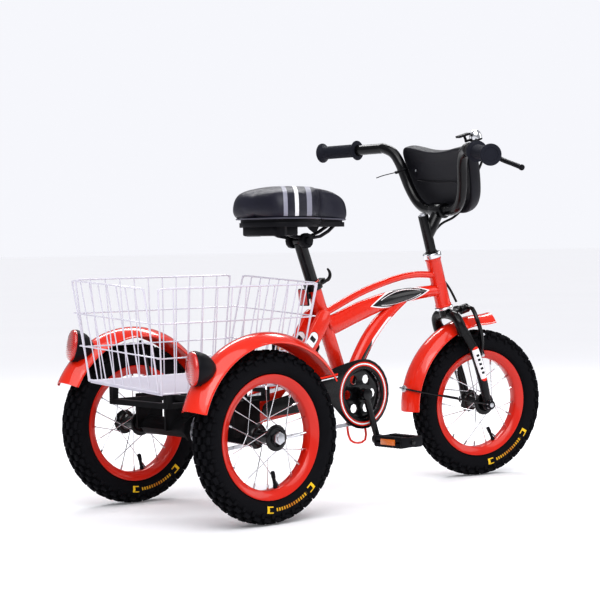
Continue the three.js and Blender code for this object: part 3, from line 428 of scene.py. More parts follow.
# %% [markdown]
# ## Paint, plastic and metal
# The frame's orange red is a thick gloss coat over steel, so it has a clear coat, a faint orange
# peel and a little dust that dulls it. The fenders are moulded in the same red and are smoother.
# Black parts differ mostly in their gloss and in the fine grain that the mould leaves.

# %% Plain finishes
RED = (0.74, 0.026, 0.008)
DEEP_RED = (0.52, 0.012, 0.005)
NEAR_BLACK = (0.004, 0.004, 0.005)
PAPER_WHITE = (0.85, 0.85, 0.87)


def coated(name, base, darker, roughness, coat, peel=0.02, grain=0.35):
    """A glossy coat with slowly drifting colour, dust that dulls it and orange peel."""
    finish = Finish(name, Coat_Roughness=0.06, Specular_IOR_Level=0.22)
    spot = finish.drawn()
    drift = finish.noise(spot, 0.012, 4.0)
    dust = finish.noise(spot, 0.05, 5.0, 0.6)
    finish.show(Base_Color=finish.mix(drift, base, darker), Roughness=roughness + dust * 0.10,
                Coat_Weight=coat - dust * 0.15,
                Normal=finish.bump(finish.noise(spot, grain, 2.0), peel))
    return finish.material


def grained(name, base, lighter, roughness, grain=1.4, depth=0.05, share=0.5):
    """Moulded plastic or rubber with a fine grain and slow changes of shade and gloss."""
    finish = Finish(name, Specular_IOR_Level=0.13)
    spot = finish.drawn()
    drift = finish.noise(spot, 0.03, 4.0)
    pores = finish.noise(spot, grain, 3.0, 0.6)
    finish.show(Base_Color=finish.mix(drift * share, base, lighter),
                Roughness=roughness + drift * 0.12 - 0.06,
                Normal=finish.bump(pores, depth))
    return finish.material


def metal(name, base, roughness, streak=0.08):
    """Bare metal, with fine streaks from its polishing and a few duller patches."""
    finish = Finish(name, Metallic=1.0)
    spot = finish.drawn()
    stretched = finish.out("Mapping", sockets={"Vector": spot, "Scale": (0.08, 1.6, 1.6)})
    streaks = finish.noise(stretched, 1.0, 4.0)
    patches = finish.noise(spot, 0.06, 3.0)
    finish.show(Base_Color=finish.mix(patches * 0.4, base, tuple(0.7 * part for part in base)),
                Roughness=roughness + streaks * streak + patches * 0.06,
                Normal=finish.bump(streaks, 0.01))
    return finish.material


FRAME_RED = coated("frame_red_paint", RED, tuple(0.88 * part for part in RED), 0.22, 0.9)
FENDER_RED = coated("fender_red_plastic", RED, tuple(0.92 * part for part in RED),
                    0.18, 1.0, 0.01, 0.12)
RIM_RED = coated("rim_red_paint", tuple(0.9 * part for part in RED), DEEP_RED, 0.30, 0.7)
BLACK_GLOSS = coated("black_gloss_paint", NEAR_BLACK, (0.003, 0.003, 0.004), 0.2, 0.36)
BLACK_PLASTIC = grained("black_plastic", (0.007, 0.007, 0.009), (0.016, 0.016, 0.02), 0.42)
DULL_BLACK = grained("dull_black_steel", (0.008, 0.008, 0.009), (0.02, 0.02, 0.022), 0.5, 0.8, 0.03)
GRIP_RUBBER = grained("grip_rubber", (0.014, 0.015, 0.022), (0.028, 0.03, 0.042), 0.62, 1.8, 0.08)
PIPING_GREY = coated("piping_grey", (0.10, 0.10, 0.13), (0.06, 0.06, 0.08), 0.3, 0.3)
WIRE_WHITE = coated("white_dipped_wire", (0.70, 0.68, 0.75), (0.60, 0.58, 0.67),
                    0.3, 0.5, 0.03, 0.5)
CHROME = metal("chrome", (0.82, 0.83, 0.86), 0.06, 0.04)
ZINC = metal("zinc_steel", (0.62, 0.63, 0.66), 0.24)
SPOKE_STEEL = metal("spoke_steel", (0.70, 0.71, 0.74), 0.18)
CABLE_BLACK = grained("cable_sheath", (0.012, 0.012, 0.013), (0.03, 0.03, 0.03), 0.4, 0.6, 0.02)

# %% [markdown]
# ## Patterned finishes
# No label carries a name: each is a coloured field with a border and, on some, plain bars. A lens
# has prisms moulded behind its skin, the tyre carries yellow bars between two brackets, and the
# saddle has three sewn chevrons. All are sums on the drawing coordinates.


# %% Patterned finishes
MARK_BELOW = 72.0
MARK_END = 26.5
CHEVRON_START = 80.0
CHEVRON_SLOPE = 0.7
BANDS_ABOVE = 556.0


def lens_finish(name, colour, deep):
    finish = Finish(name, Coat_Weight=1.0, Coat_Roughness=0.03, Specular_IOR_Level=0.6)
    _, y, z = finish.axes(finish.drawn())
    ribs = (y * 1.6).call("SINE") * (z * 1.6).call("SINE")
    prisms = ribs * 0.5 + 0.5
    finish.show(Base_Color=finish.mix(prisms, deep, colour), Roughness=0.12 + prisms * 0.1,
                Normal=finish.bump(prisms, 0.25))
    return finish.material


def tyre_finish():
    """Black rubber with patches of dust, and a yellow moulding on a short arc of each side."""
    finish = Finish("tyre_rubber", Specular_IOR_Level=0.1)
    spot = finish.drawn()
    x, _, z = finish.axes(spot)
    radius = (x * x + z * z).call("SQRT")
    angle = z.call("ARCTAN2", x) * (180 / math.pi)
    off_middle = (angle + MARK_BELOW).call("ABSOLUTE")
    band = radius.inside(124.5, 133.5)
    bracket = band * off_middle.inside(24.0, MARK_END)
    hooks = ((radius.inside(122.5, 125.0) + radius.inside(133.0, 135.5))
             * off_middle.inside(20.0, MARK_END))
    bars = radius.inside(126.0, 132.0) * (off_middle < 17.0) * ((angle * 2.4).call("SINE") > -0.35)
    mark = (bracket + hooks + bars).call("MINIMUM", 1.0)
    ribs = ((radius * 2.1).call("SINE") > 0.86) * (radius < 122.0)
    dust = finish.noise(spot, 0.06, 5.0, 0.6)
    rubber = finish.mix(dust * 0.6, (0.003, 0.003, 0.004), (0.012, 0.012, 0.016))
    ochre = finish.mix(off_middle / 26.0, (0.45, 0.16, 0.02), (0.80, 0.52, 0.03))
    finish.show(Base_Color=finish.mix(mark, rubber, ochre), Roughness=0.58 + dust * 0.2,
                Normal=finish.bump(ribs + mark + finish.noise(spot, 0.9, 3.0) * 0.3, 0.35))
    return finish.material


def saddle_finish():
    """Vinyl with a fine leather grain, two grey chevrons and a white one that point to the nose."""
    finish = Finish("saddle_vinyl", Specular_IOR_Level=0.45)
    spot = finish.drawn()
    x, y, z = finish.axes(spot)
    lean = x - (CHEVRON_START - y.call("ABSOLUTE")).call("MAXIMUM", 0.0) * CHEVRON_SLOPE
    grey = (lean.inside(157.0, 167.0) + lean.inside(216.0, 230.0)).call("MINIMUM", 1.0)
    white = lean.inside(185.0, 195.0)
    above = z > BANDS_ABOVE
    grain = finish.out("TexVoronoi", {"feature": "DISTANCE_TO_EDGE"},
                       {"Vector": spot, "Scale": 0.75})
    wrinkle = grain.call("MINIMUM", 0.18)
    drift = finish.noise(spot, 0.02, 4.0)
    vinyl = finish.mix(drift, (0.005, 0.005, 0.012), (0.012, 0.012, 0.028))
    banded = finish.mix(grey * above, vinyl, (0.26, 0.26, 0.32))
    seam = (lean - 190.0).call("ABSOLUTE").inside(5.2, 6.0)
    seam = seam + (lean - 162.0).call("ABSOLUTE").inside(5.2, 6.0)
    seam = seam + (lean - 223.0).call("ABSOLUTE").inside(7.2, 8.0)
    stitches = seam * ((y * 1.9 + z * 1.9).call("SINE") > -0.2)
    finish.show(Base_Color=finish.mix(white * above, banded, (0.78, 0.78, 0.80)),
                Roughness=0.36 + drift * 0.14 - white * above * 0.05,
                Normal=finish.bump(wrinkle * 2.0 - stitches * 0.5, 0.12))
    return finish.material


def shield_finish():
    """The handlebar shield's satin skin, with a fine moulded leather grain."""
    finish = Finish("shield_skin", Specular_IOR_Level=0.2)
    spot = finish.drawn()
    grain = finish.out("TexVoronoi", {"feature": "DISTANCE_TO_EDGE"},
                       {"Vector": spot, "Scale": 0.6})
    drift = finish.noise(spot, 0.02, 4.0)
    finish.show(Base_Color=finish.mix(drift, (0.008, 0.008, 0.011), (0.018, 0.018, 0.025)),
                Roughness=0.40 + drift * 0.16, Normal=finish.bump(grain.call("MINIMUM", 0.2), 0.25))
    return finish.material


def labelled(name, base, mask_of, layers, coat=0.8):
    """Gloss paint with flat label colours laid over it, each where its mask says."""
    finish = Finish(name, Coat_Roughness=0.06, Specular_IOR_Level=0.22)
    spot = finish.drawn()
    colour = finish.mix(finish.noise(spot, 0.012, 4.0), base, tuple(0.88 * part for part in base))
    masks = mask_of(*finish.axes(spot))
    for mask, layer in zip(masks, layers):
        colour = finish.mix(mask, colour, layer)
    dust = finish.noise(spot, 0.05, 5.0, 0.6)
    finish.show(Base_Color=colour, Roughness=0.22 + dust * 0.1, Coat_Weight=coat - dust * 0.15,
                Normal=finish.bump(finish.noise(spot, 0.35, 2.0), 0.02))
    return finish.material


def capsule(x, z, start, end, half_width):
    """How far a point lies inside a round-ended strip from start to end: positive inside."""
    along = Vector(end) - Vector(start)
    unit = along.normalized()
    run = (x - start[0]) * unit[0] + (z - start[1]) * unit[1]
    reach = run.call("MAXIMUM", 0.0).call("MINIMUM", along.length)
    off_x = x - start[0] - reach * unit[0]
    off_z = z - start[1] - reach * unit[1]
    return half_width - (off_x * off_x + off_z * off_z).call("SQRT")


def main_tube_masks(x, _, z):
    """A long black leaf with a white rim, on the sides of the main tube near the head."""
    middle = 379.0 + (x - 455.0) * 0.158 - (x - 540.0) * (x - 540.0) * 0.00035
    half = 18.0 - (x - 525.0) * (x - 525.0) * 0.0024
    off = half - (z - middle).call("ABSOLUTE")
    return [off > 0.0, off > 2.6, (off > 5.2) * x.inside(470.0, 585.0) * (off < 6.4)]


def down_tube_masks(x, _, z):
    """The front flank of the strut: white above, black below, a thin red line on its edge."""
    rise = z - BRACKET.z
    ahead = x - BRACKET.x - rise * 0.2965 - rise * rise * 0.0031
    flank = (ahead > -1.0) * (z < 350.0)
    return [flank, flank * (z > 304.0 - ahead * 1.2), flank * ahead.inside(8.5, 11.0)]


def stay_masks(x, _, z):
    inside = capsule(x, z, (226.0, 258.0), (276.0, 318.0), 11.5)
    bars = inside > 3.4
    stripes = ((x * 0.64 + z * 0.77) * 0.32).call("SINE") > 0.1
    return [inside > 0.0, inside > 0.9, bars * stripes * (inside > 4.6)]


def guard_masks(x, _, z):
    """Two red rings and a white one round the hole, and a red and a white line on the arm."""
    dx = x - BRACKET.x - 4.0
    dz = z - BRACKET.z
    radius = (dx * dx + dz * dz).call("SQRT")
    ring = radius.inside(56.0, 58.0) + radius.inside(62.0, 64.0)
    white = radius.inside(58.6, 61.4)
    arm = x < BRACKET.x - 64.0
    rise = z - 212.0 - (x - 130.0) * 0.12
    return [(ring + arm * rise.inside(8.0, 12.0)).call("MINIMUM", 1.0), white,
            arm * rise.inside(4.0, 6.0)]


def fork_masks(x, y, z):
    """A white label with rounded red ends on the outer side of each leg."""
    inside = capsule(x, z, (20.5, 126.0), (29.0, 62.0), 8.0)
    outer = y.call("ABSOLUTE") > 38.0
    ends = 1.0 - (z - 94.0).call("ABSOLUTE").inside(-1.0, 34.0)
    bars = (inside > 4.8) * z.inside(68.0, 120.0) * ((z * 0.62).call("SINE") > -0.1)
    return [(inside > 0.0) * outer, (inside > 0.0) * outer * ends, bars * outer]


TYRE = tyre_finish()
SADDLE_VINYL = saddle_finish()
SHIELD = shield_finish()
RED_LENS = lens_finish("red_lens", (0.75, 0.03, 0.02), (0.28, 0.004, 0.004))
AMBER_LENS = lens_finish("amber_reflector", (0.85, 0.26, 0.03), (0.45, 0.06, 0.01))
MAIN_TUBE_PAINT = labelled("main_tube_paint", RED, main_tube_masks,
                           [PAPER_WHITE, NEAR_BLACK, PAPER_WHITE])
DOWN_TUBE_PAINT = labelled("down_tube_paint", RED, down_tube_masks, [NEAR_BLACK, PAPER_WHITE, RED])
STAY_PAINT = labelled("stay_paint", RED, stay_masks, [NEAR_BLACK, PAPER_WHITE, NEAR_BLACK])
GUARD_PAINT = labelled("guard_black", NEAR_BLACK, guard_masks, [RED, PAPER_WHITE, PAPER_WHITE], 0.2)
FORK_PAINT = labelled("fork_black", NEAR_BLACK, fork_masks, [PAPER_WHITE, RED, NEAR_BLACK], 0.25)
print(len(bpy.data.materials), "finishes")


# %% Giving a piece its finish and its body
def fit(piece, body, material, slot, *nodes):
    piece.data.materials.clear()
    piece.data.materials.append(material)
    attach(piece, body)
    if nodes:
        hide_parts(*nodes)
    return piece


def on_frame(piece, material, slot, *nodes):
    return fit(placed(piece, BASE), "frame", material, slot, *nodes)


def on_steering(piece, material, slot, *nodes, body="steering"):
    return fit(placed(piece, STEERING), body, material, slot, *nodes)


def on_basket(piece, node):
    return fit(placed(piece, BASKET), "frame", WIRE_WHITE, "white_coated_wire", node)


# %% [markdown]
# ## Wheels
# The tyre is a spun section with blocks of tread standing on it. One pitch of tread is drawn as a
# few cubes, and spinning with copies repeats it round the wheel, which is quicker than an array
# and leaves one mesh. The rim, the hub and its flanges are spun too. A spoke is one rod, copied
# round the hub.

# %% One wheel, drawn about the Y axis
TREAD_PITCHES = 38
SPOKES = 20
VALVE_ANGLE = -78


def mirrored_profile(half):
    return half + [(radius, -y) for radius, y in reversed(half)]


def spun_copies(piece, count):
    """Repeats a mesh evenly round the Y axis."""
    into_edit_mode(piece)
    bpy.ops.mesh.spin(steps=count - 1, dupli=True, angle=2 * math.pi * ((count - 1) / count),
                      center=(0, 0, 0), axis=(0, 1, 0))
    bpy.ops.object.mode_set(mode="OBJECT")
    return piece


def tread_block(radius, y, width, length, height, lean, angle):
    """One rubber block, narrower at its top, standing on the tyre at an angle from +X."""
    block = box("tread_block", (-height, -width / 2, -length / 2), (height, width / 2, length / 2),
                1.1, 1)
    block.data.transform(turn(-angle, "Y") @ shift(radius, y, 0) @ turn(lean, "Z"))
    return block


def tread():
    pitch = 360 / TREAD_PITCHES
    blocks = []
    for side in (-1, 1):
        near = 0.25 * pitch * side
        blocks.append(tread_block(152.7, side * 4.4, 7.4, 14.0, 4.0, 0, near))
        blocks.append(tread_block(150.8, side * 12.6, 7.2, 13.0, 4.2, side * 16, near + pitch / 2))
        blocks.append(tread_block(146.6, side * 19.4, 6.6, 14.0, 4.6, side * 46, near))
        blocks.append(tread_block(141.0, side * 23.2, 9.0, 6.5, 1.9, side * 76, near + pitch / 2))
    return spun_copies(joined("tread", *blocks), TREAD_PITCHES)


def tyre():
    outside = [(108, 12.6), (113.4, 12.8), (116, 17.0), (119, 20.4), (123, 22.3), (130, 23.9),
               (136, 23.6),
               (140, 21.8), (144, 18.6), (147.6, 14.4), (150, 9.2), (151, 3)]
    inside = [(148.6, 3), (145, 11), (138, 18), (130, 20), (120, 16.5), (108, 8)]
    carcass = turned("carcass", mirrored_profile(outside) + [(r, -y) for r, y in inside] + inside[::-1], 96)
    return joined("tyre", carcass, tread())


def rim():
    half = [(96, 0), (96, 8.5), (97.5, 11.2), (110.5, 15.6), (113.0, 16.4), (113.8, 15.0),
            (112.6, 13.2),
            (106.5, 12.7), (105.2, 8.0), (105, 0)]
    loop = half + [(radius, -y) for radius, y in reversed(half[1:-1])]
    return turned("rim", loop, 96)


def spokes():
    """Crossing spokes with their nipples at the rim and their bent heads on the flanges."""
    lines = []
    nipples = []
    for i in range(SPOKES):
        side = 1 if i % 2 == 0 else -1
        lead = side if i % 4 < 2 else -side
        angle = 2 * math.pi * i / SPOKES
        root = angle - lead * math.radians(62)
        start = Vector((20.5 * math.cos(root), side * 27.2, 20.5 * math.sin(root)))
        end = Vector((97 * math.cos(angle), side * 1.5, 97 * math.sin(angle)))
        head = start + Vector((0, side * 2.6, 0))
        lines.append([head, start, end])
        nipples.append([end + (start - end) * 0.13, end])
    return joined("spokes", wire("spoke_lines", lines, 1.0, 1), wire("nipples", nipples, 1.9, 1))


def hub(bore):
    half = [(bore, 28.5), (15, 28.5), (15.5, 31), (20, 30.6), (23.6, 29.2), (24, 26.8), (17, 25.6),
            (12.6, 21),
            (11.6, 12), (11.6, 0)]
    barrel = half + [(radius, -y) for radius, y in reversed(half[:-1])]
    return turned("hub", barrel, 40)


def valve():
    stem = turned("valve", [(0, 0), (4.2, 0), (4.2, 6), (3.2, 8), (3.2, 20), (3.9, 21), (3.9, 31),
                            (2.6, 33), (0, 33)],
                  20, closed=False)
    stem.data.transform(turn(-VALVE_ANGLE, "Y") @ shift(97.5, 0, 0) @ turn(90, "Z"))
    return stem


master_tyre = tyre()
master_rim = bevelled(rim(), 0.5, 2, 50)
master_spokes = spokes()
master_valve = valve()
for side, place in HUBS.items():
    body = WHEEL_BODY[side]
    bore = 5.5 if side == "front" else 8.5
    rubber = copied(master_tyre, f"{side}_tyre_with_tread")
    fit(placed(rubber, place, 45), body, TYRE, "tyre", f"{side}_tyre")
    hoop = copied(master_rim, f"{side}_rim_hoop")
    fit(placed(hoop, place, 50), body, RIM_RED, "red_rim", f"{side}_rim")
    core = bevelled(hub(bore), 0.6)
    core.name = f"{side}_hub"
    fit(placed(core, place), body, BLACK_GLOSS, "black_paint", f"{side}_hub_spokes")
    fit(placed(copied(master_spokes, f"{side}_spokes"), place), body, SPOKE_STEEL, "steel")
    fit(placed(copied(master_valve, f"{side}_valve"), place), body, BLACK_PLASTIC, "black_plastic")
for master in (master_tyre, master_rim, master_spokes, master_valve):
    bpy.data.objects.remove(master)

# %% [markdown]
# ## Fenders and lamps
# A fender is an arc of a spun crown: the crown's section is drawn once and spun through the angle
# that the fender covers, then given its wall. A rolled bead stiffens each edge. The lamps are
# bullet shells that look back, each with a round lens whose skin is slightly domed.

# %% Fenders
FENDER_EDGE = 170.0
FENDER_CROWN = 17.0
PEAK_DEGREES = 9.0
REAR_FENDER = (33, 162, 33)
FRONT_FENDER = (66, 166.5, 31)
LEFT_TILT = turn(10, "Y")


def crown_section(half_width, outward, count=10):
    shares = [i / count - 1 for i in range(2 * count + 1)]
    return [(FENDER_EDGE + FENDER_CROWN * (1 - share * share) + outward,
             share * half_width) for share in shares]


def fender(name, start, end, half_width, lip=0.0):
    """An arc of crown with rolled edges; lip lifts its first few degrees like a peak."""
    section = crown_section(half_width, 1.7) + crown_section(half_width, 0.1)[::-1]
    shell = turned("shell", section, round((end - start) * 0.7), end - start)
    into_edit_mode(shell)
    bpy.ops.mesh.region_to_loop()
    bpy.ops.mesh.fill_holes(sides=0)
    bpy.ops.object.mode_set(mode="OBJECT")
    cleaned(shell)
    sweep = [math.radians((end - start) * i / 60) for i in range(61)]
    edges = [[(FENDER_EDGE * math.cos(a) + 1, side * half_width,
               FENDER_EDGE * math.sin(a)) for a in sweep]
             for side in (-1, 1)]
    whole = joined(name, shell, wire("beads", edges, 1.7, 2))
    for vertex in whole.data.vertices:
        angle = math.degrees(math.atan2(vertex.co.z, vertex.co.x))
        peak = max(0.0, 1 - angle / PEAK_DEGREES)
        vertex.co *= 1 + lip * peak * peak / FENDER_EDGE
    whole.data.transform(turn(-start, "Y"))
    return whole


REAR_PLACES = {"left": HUBS["left"] @ LEFT_TILT, "right": HUBS["right"]}
for side, place in REAR_PLACES.items():
    guard = placed(fender(f"{side}_fender_shell", *REAR_FENDER), place)
    fit(guard, "frame", FENDER_RED, "red_plastic", f"{side}_fender")
front_guard = placed(fender("front_fender_shell", *FRONT_FENDER, 5.0), FRONT_HUB)
fit(front_guard, "steering", FENDER_RED, "red_plastic", "front_fender")
print("fender faces", len(guard.data.polygons))

# %% Lamps
LAMP_ANGLE = 142
LAMP_REACH = 214
LAMP_YAW = 20


def lamp(name, place):
    housing = turned(f"{name}_housing", [(30, 9), (31, 9.6), (31, 13), (29, 20), (24.6, 31),
                                         (17, 41),
                                         (8, 47.5), (0.05, 49.5), (0.05, 12), (29, 11)], 48)
    foot = box("foot", (-7, 18, -36), (7, 34, -16), 2.0)
    housing = joined(f"{name}_housing", bevelled(housing, 0.6), foot)
    lens = turned(f"{name}_lens", [(0.05, 0), (14, 0.3), (25, 1.4), (29, 3.2), (30.4, 5.6),
                                   (30.4, 9), (29, 10.8),
                                   (0.05, 11)], 48)
    angle = math.radians(LAMP_ANGLE)
    spot = place @ shift((LAMP_REACH + 4) * math.cos(angle), 0,
                         LAMP_REACH * math.sin(angle)) @ turn(-90 - LAMP_YAW, "Z")
    fit(placed(housing, spot), "frame", BLACK_PLASTIC, "black_plastic", name)
    fit(placed(lens, spot), "frame", RED_LENS, "black_plastic")


for side, place in REAR_PLACES.items():
    lamp(f"{side}_lamp", place)
print("lamps done")

# %% [markdown]
# ## The wire basket
# The basket is welded from straight wires and then dipped in white plastic. Each panel is a list
# of lines, made round all at once by a curve's bevel, which is far lighter than solid rods. The
# side and end panels are separate, with their corners hooked on each other, so the rails run past
# the uprights.

# %% Basket panels
BASKET_HALF_LENGTH = 160.0
BASKET_HALF_WIDTH = 113.0
BASKET_HEIGHT = 193.0
SIDE_UPRIGHTS = 12
END_UPRIGHTS = 9
RAIL_SHARES = (0.0, 0.34, 0.67, 1.0)
RAIL_HOOK = 7
SIDE_FOOT, SIDE_TOP, SIDE_TOP_END = 114.0, 129.0, 184
END_FOOT, END_TOP = 162.5, 203.0
END_FOOT_HALF, END_TOP_HALF = 108, 112


def lerp(a, b, share):
    return Vector(a) + (Vector(b) - Vector(a)) * share


def basket_panel(name, low_a, low_b, high_a, high_b, uprights, inward, hooked):
    """Uprights between two edges, crossed by rails; hooked rails run on past the end uprights."""
    thin = []
    for i in range(uprights):
        share = i / (uprights - 1)
        thin.append([lerp(low_a, low_b, share), lerp(high_a, high_b, share)])
    rails = []
    for share in RAIL_SHARES:
        start = lerp(low_a, high_a, share)
        end = lerp(low_b, high_b, share)
        reach = (end - start).normalized() * hooked
        bend = Vector(inward) * RAIL_HOOK
        rails.append([start - reach + bend, start - reach, end + reach,
                      end + reach + bend] if hooked
                     and 0 < share < 1 else [start, end])
    edge = [Vector(low_a), Vector(high_a), Vector(high_b), Vector(low_b)]
    thick = [curve_corner(edge, 9)] + rails[:1]
    return joined(name, wire("uprights", thin, 1.25, 2), wire("rails", rails[1:3], 1.35, 2),
                  wire("edge", thick, 1.7, 2))


def curve_corner(points, radius):
    """A line whose inner corners are rounded."""
    line = [points[0]]
    for before, corner, after in zip(points, points[1:], points[2:]):
        start = corner + (before - corner).normalized() * radius
        end = corner + (after - corner).normalized() * radius
        for i in range(7):
            t = i / 6
            line.append((1 - t) ** 2 * start + 2 * t * (1 - t) * corner + t * t * end)
    return line + [points[-1]]


def basket_floor():
    lines = []
    for i in range(33):
        y = -BASKET_HALF_WIDTH + 5 + i * (2 * BASKET_HALF_WIDTH - 10) / 32
        lines.append([(-BASKET_HALF_LENGTH + 2, y, 2.2), (BASKET_HALF_LENGTH - 2, y, 2.2)])
    cross = []
    for i in range(9):
        x = -BASKET_HALF_LENGTH + 3 + i * (2 * BASKET_HALF_LENGTH - 6) / 8
        cross.append([(x, -BASKET_HALF_WIDTH + 2, 0.2), (x, BASKET_HALF_WIDTH - 2, 0.2)])
    return joined("basket_floor_grid", wire("long", lines, 1.25, 1), wire("cross", cross, 1.9, 2))


on_basket(basket_floor(), "basket_floor")
for name, side in SIDES.items():
    low = side * SIDE_FOOT
    high = side * SIDE_TOP
    grid = basket_panel(f"basket_{name}_grid", (-BASKET_HALF_LENGTH, low, 2),
                        (BASKET_HALF_LENGTH, low, 2),
                        (-SIDE_TOP_END, high, BASKET_HEIGHT - 2),
                        (SIDE_TOP_END, high, BASKET_HEIGHT - 2),
                        SIDE_UPRIGHTS, (0, -side, 0), 3.0)
    on_basket(grid, f"basket_{name}")
for name, side in (("front", 1), ("rear", -1)):
    low = side * END_FOOT
    high = side * END_TOP
    grid = basket_panel(f"basket_{name}_grid", (low, -END_FOOT_HALF, 5), (low, END_FOOT_HALF, 5),
                        (high, -END_TOP_HALF, BASKET_HEIGHT - 2),
                        (high, END_TOP_HALF, BASKET_HEIGHT - 2),
                        END_UPRIGHTS, (-side, 0, 0), 12.0)
    on_basket(grid, f"basket_{name}")
print("basket wires done")

# %% [markdown]
# ## The frame's tubes
# The main tube is an oval that grows thinner towards the head, the upper tube arches over it, and
# the strut comes up from the bracket to meet them. Each is extruded ring by ring along its curve.
# Welds are rings of small ripples where a tube meets another.

# %% Tubes
POST_SPACE = 13.6


def on_seat_tube(height):
    lean = math.radians(SEAT_TILT)
    return BRACKET + Vector((-math.sin(lean), 0, math.cos(lean))) * height


def on_head(height):
    return LEAN @ Vector((0, 0, height))


def bored(piece):
    """Cuts the sliding seat post's space out of a piece drawn in the frame's millimetres."""
    drill = rod("drill", (0, 0, 18), (0, 0, 260), POST_SPACE, 0, 48)
    drill.data.transform(BASE.inverted() @ SEAT)
    modified(piece, "BOOLEAN", object=drill, operation="DIFFERENCE", solver="EXACT")
    bpy.data.objects.remove(drill)
    return piece


main_line = [on_seat_tube(146), (352, 0, 341), (425, 0, 365), (512, 0, 387), (595, 0, 396.5),
             on_head(262.6)]
main_tube = swept("main_tube_oval", main_line, [14, 15, 15, 14, 12.5, 11.5],
                  [20, 20, 19.5, 16, 13, 11.5], 40, 36)
on_frame(bored(main_tube), MAIN_TUBE_PAINT, "red_paint", "main_tube")

upper_line = [on_seat_tube(170), (345, 0, 371), (425, 0, 401.5), (512, 0, 425), (578, 0, 434.5),
              on_head(296)]
upper_tube = swept("upper_tube_arch", upper_line, [7, 7], [7, 7], 40, 24)
on_frame(bored(upper_tube), FRAME_RED, "red_paint", "upper_tube")

strut_line = [BRACKET, (405, 0, 248), (437, 0, 297), (470, 0, 333), (508, 0, 362), (552, 0, 387)]
strut = swept("strut_tube", strut_line, [13, 13, 13, 12.5, 11, 8], [16, 16, 16, 15.5, 12.5, 8],
              34, 32)
on_frame(strut, DOWN_TUBE_PAINT, "red_paint", "down_tube")


def tube_with_bore(name, low, high, outer, bore, rings=()):
    """A round tube along Z, open at its ends, with thicker rings at the given heights."""
    profile = [(bore, low), (outer, low)]
    for start, end, radius in rings:
        profile += [(outer, start), (radius, start + 0.6), (radius, end - 0.6), (outer, end)]
    profile += [(outer, high), (bore, high)]
    tube = bevelled(turned(name, profile, 48), 0.5, 2, 50)
    tube.data.transform(turn(90, "X"))
    return tube


seat_tube = tube_with_bore("seat_tube_round", 18, 243, 14.3, 12.9, [(228, 241, 15.4)])
fit(placed(seat_tube, SEAT), "frame", FRAME_RED, "red_paint", "seat_tube")
head_tube = tube_with_bore("head_tube_round", 226.8, 334.4, 16, 13.3,
                           [(227, 232, 17.2), (329, 334.2, 17.2)])
fit(placed(head_tube, HEAD), "frame", FRAME_RED, "red_paint", "head_tube")
for name, low, high in (("headset_lower", 221.3, 226.5), ("headset_upper", 334.7, 345.4)):
    cup = tube_with_bore(f"{name}_cup", low, high, 17.6, 13.3, [(low + 1, high - 0.8, 19.4)])
    fit(placed(cup, HEAD), "frame", CHROME, "chrome", name)
print("tubes done")

# %% Weld beads
def weld(name, place, radius, width):
    """A ring of small overlapping ripples, as a welder leaves."""
    ripple = turned(name, [(radius - 1, -width), (radius + 0.9, -width * 0.6), (radius + 1.5, 0),
                           (radius + 0.9, width * 0.6), (radius - 1, width)], 72)
    for vertex in ripple.data.vertices:
        angle = math.atan2(vertex.co.z, vertex.co.x)
        wave = 1 + 0.012 * math.sin(24 * angle)
        vertex.co.x *= wave
        vertex.co.z *= wave
    ripple.data.transform(BASE.inverted() @ place @ turn(90, "X"))
    return on_frame(bored(ripple), FRAME_RED, "red_paint")


WELDS = [
    ("weld_main_to_seat", on_seat_tube(150), 62, 18.5, 2.6),
    ("weld_main_to_head", on_head(265) + Vector((-16, 0, 0)), 85, 11.8, 2.2),
    ("weld_upper_to_head", on_head(297) + Vector((-15.5, 0, 0)), 82, 7.2, 1.8),
    ("weld_bracket", BRACKET + Vector((6, 0, 18)), 28, 14.8, 2.2),
]
for name, spot, lean, radius, width in WELDS:
    weld(name, BASE @ Matrix.Translation(spot) @ turn(lean, "Y"), radius, width)
print(len(WELDS), "welds")

# %% [markdown]
# ## Flat metal that keeps its CAD shape
# Stays, carrier, guard and collar are cut from plate and bar, and the CAD shape is right as it
# is. A copy gets its loose triangles merged, its edges broken and the same finishes, and stands
# for its node.

# %% CAD shapes with softened edges
PLAIN_PARTS = [
    ("stay_left", "frame", STAY_PAINT, "red_paint", 1.6),
    ("stay_right", "frame", STAY_PAINT, "red_paint", 1.6),
    ("chain_stays", "frame", FRAME_RED, "red_paint", 1.0),
    ("bottom_bracket_shell", "frame", FRAME_RED, "red_paint", 0.5),
    ("chain_guard", "frame", GUARD_PAINT, "black_plastic", 0.7),
    ("axle_housing", "frame", DULL_BLACK, "black_paint", 0.7),
    ("seat_collar", "frame", BLACK_GLOSS, "black_paint", 0.7),
    ("rear_shaft", "drive_axle", ZINC, "steel", 0.5),
    ("rear_sprocket", "drive_axle", DULL_BLACK, "black_paint", 0.3),
    ("cranks", "crankset", BLACK_GLOSS, "black_paint", 0.8),
    ("front_axle", "steering", ZINC, "steel", 0.4),
    ("lever_clamp", "steering", BLACK_PLASTIC, "black_paint", 0.6),
    ("caliper_arm_left", "left_caliper", BLACK_GLOSS, "black_paint", 0.6),
    ("caliper_arm_right", "right_caliper", BLACK_GLOSS, "black_paint", 0.6),
    ("saddle_base", "saddle", BLACK_PLASTIC, "black_plastic", 0.8),
    ("seat_post", "post", BLACK_GLOSS, "black_paint", 0.5),
    ("bell_thumb", "bell_trigger", BLACK_PLASTIC, "black_plastic", 0.4),
]
for node, body, material, slot, width in PLAIN_PARTS:
    fit(from_cad(node, width), body, material, slot, node)
print(len(PLAIN_PARTS), "parts keep their CAD shape")

# %% [markdown]
# ## The drive
# The chain is roller chain: outer and inner links take turns, joined by rollers. One pair of
# links is drawn and copied along the loop round the two toothed wheels. The chainring's teeth are
# drawn by spinning one tooth, and its window frames come from the CAD disc.

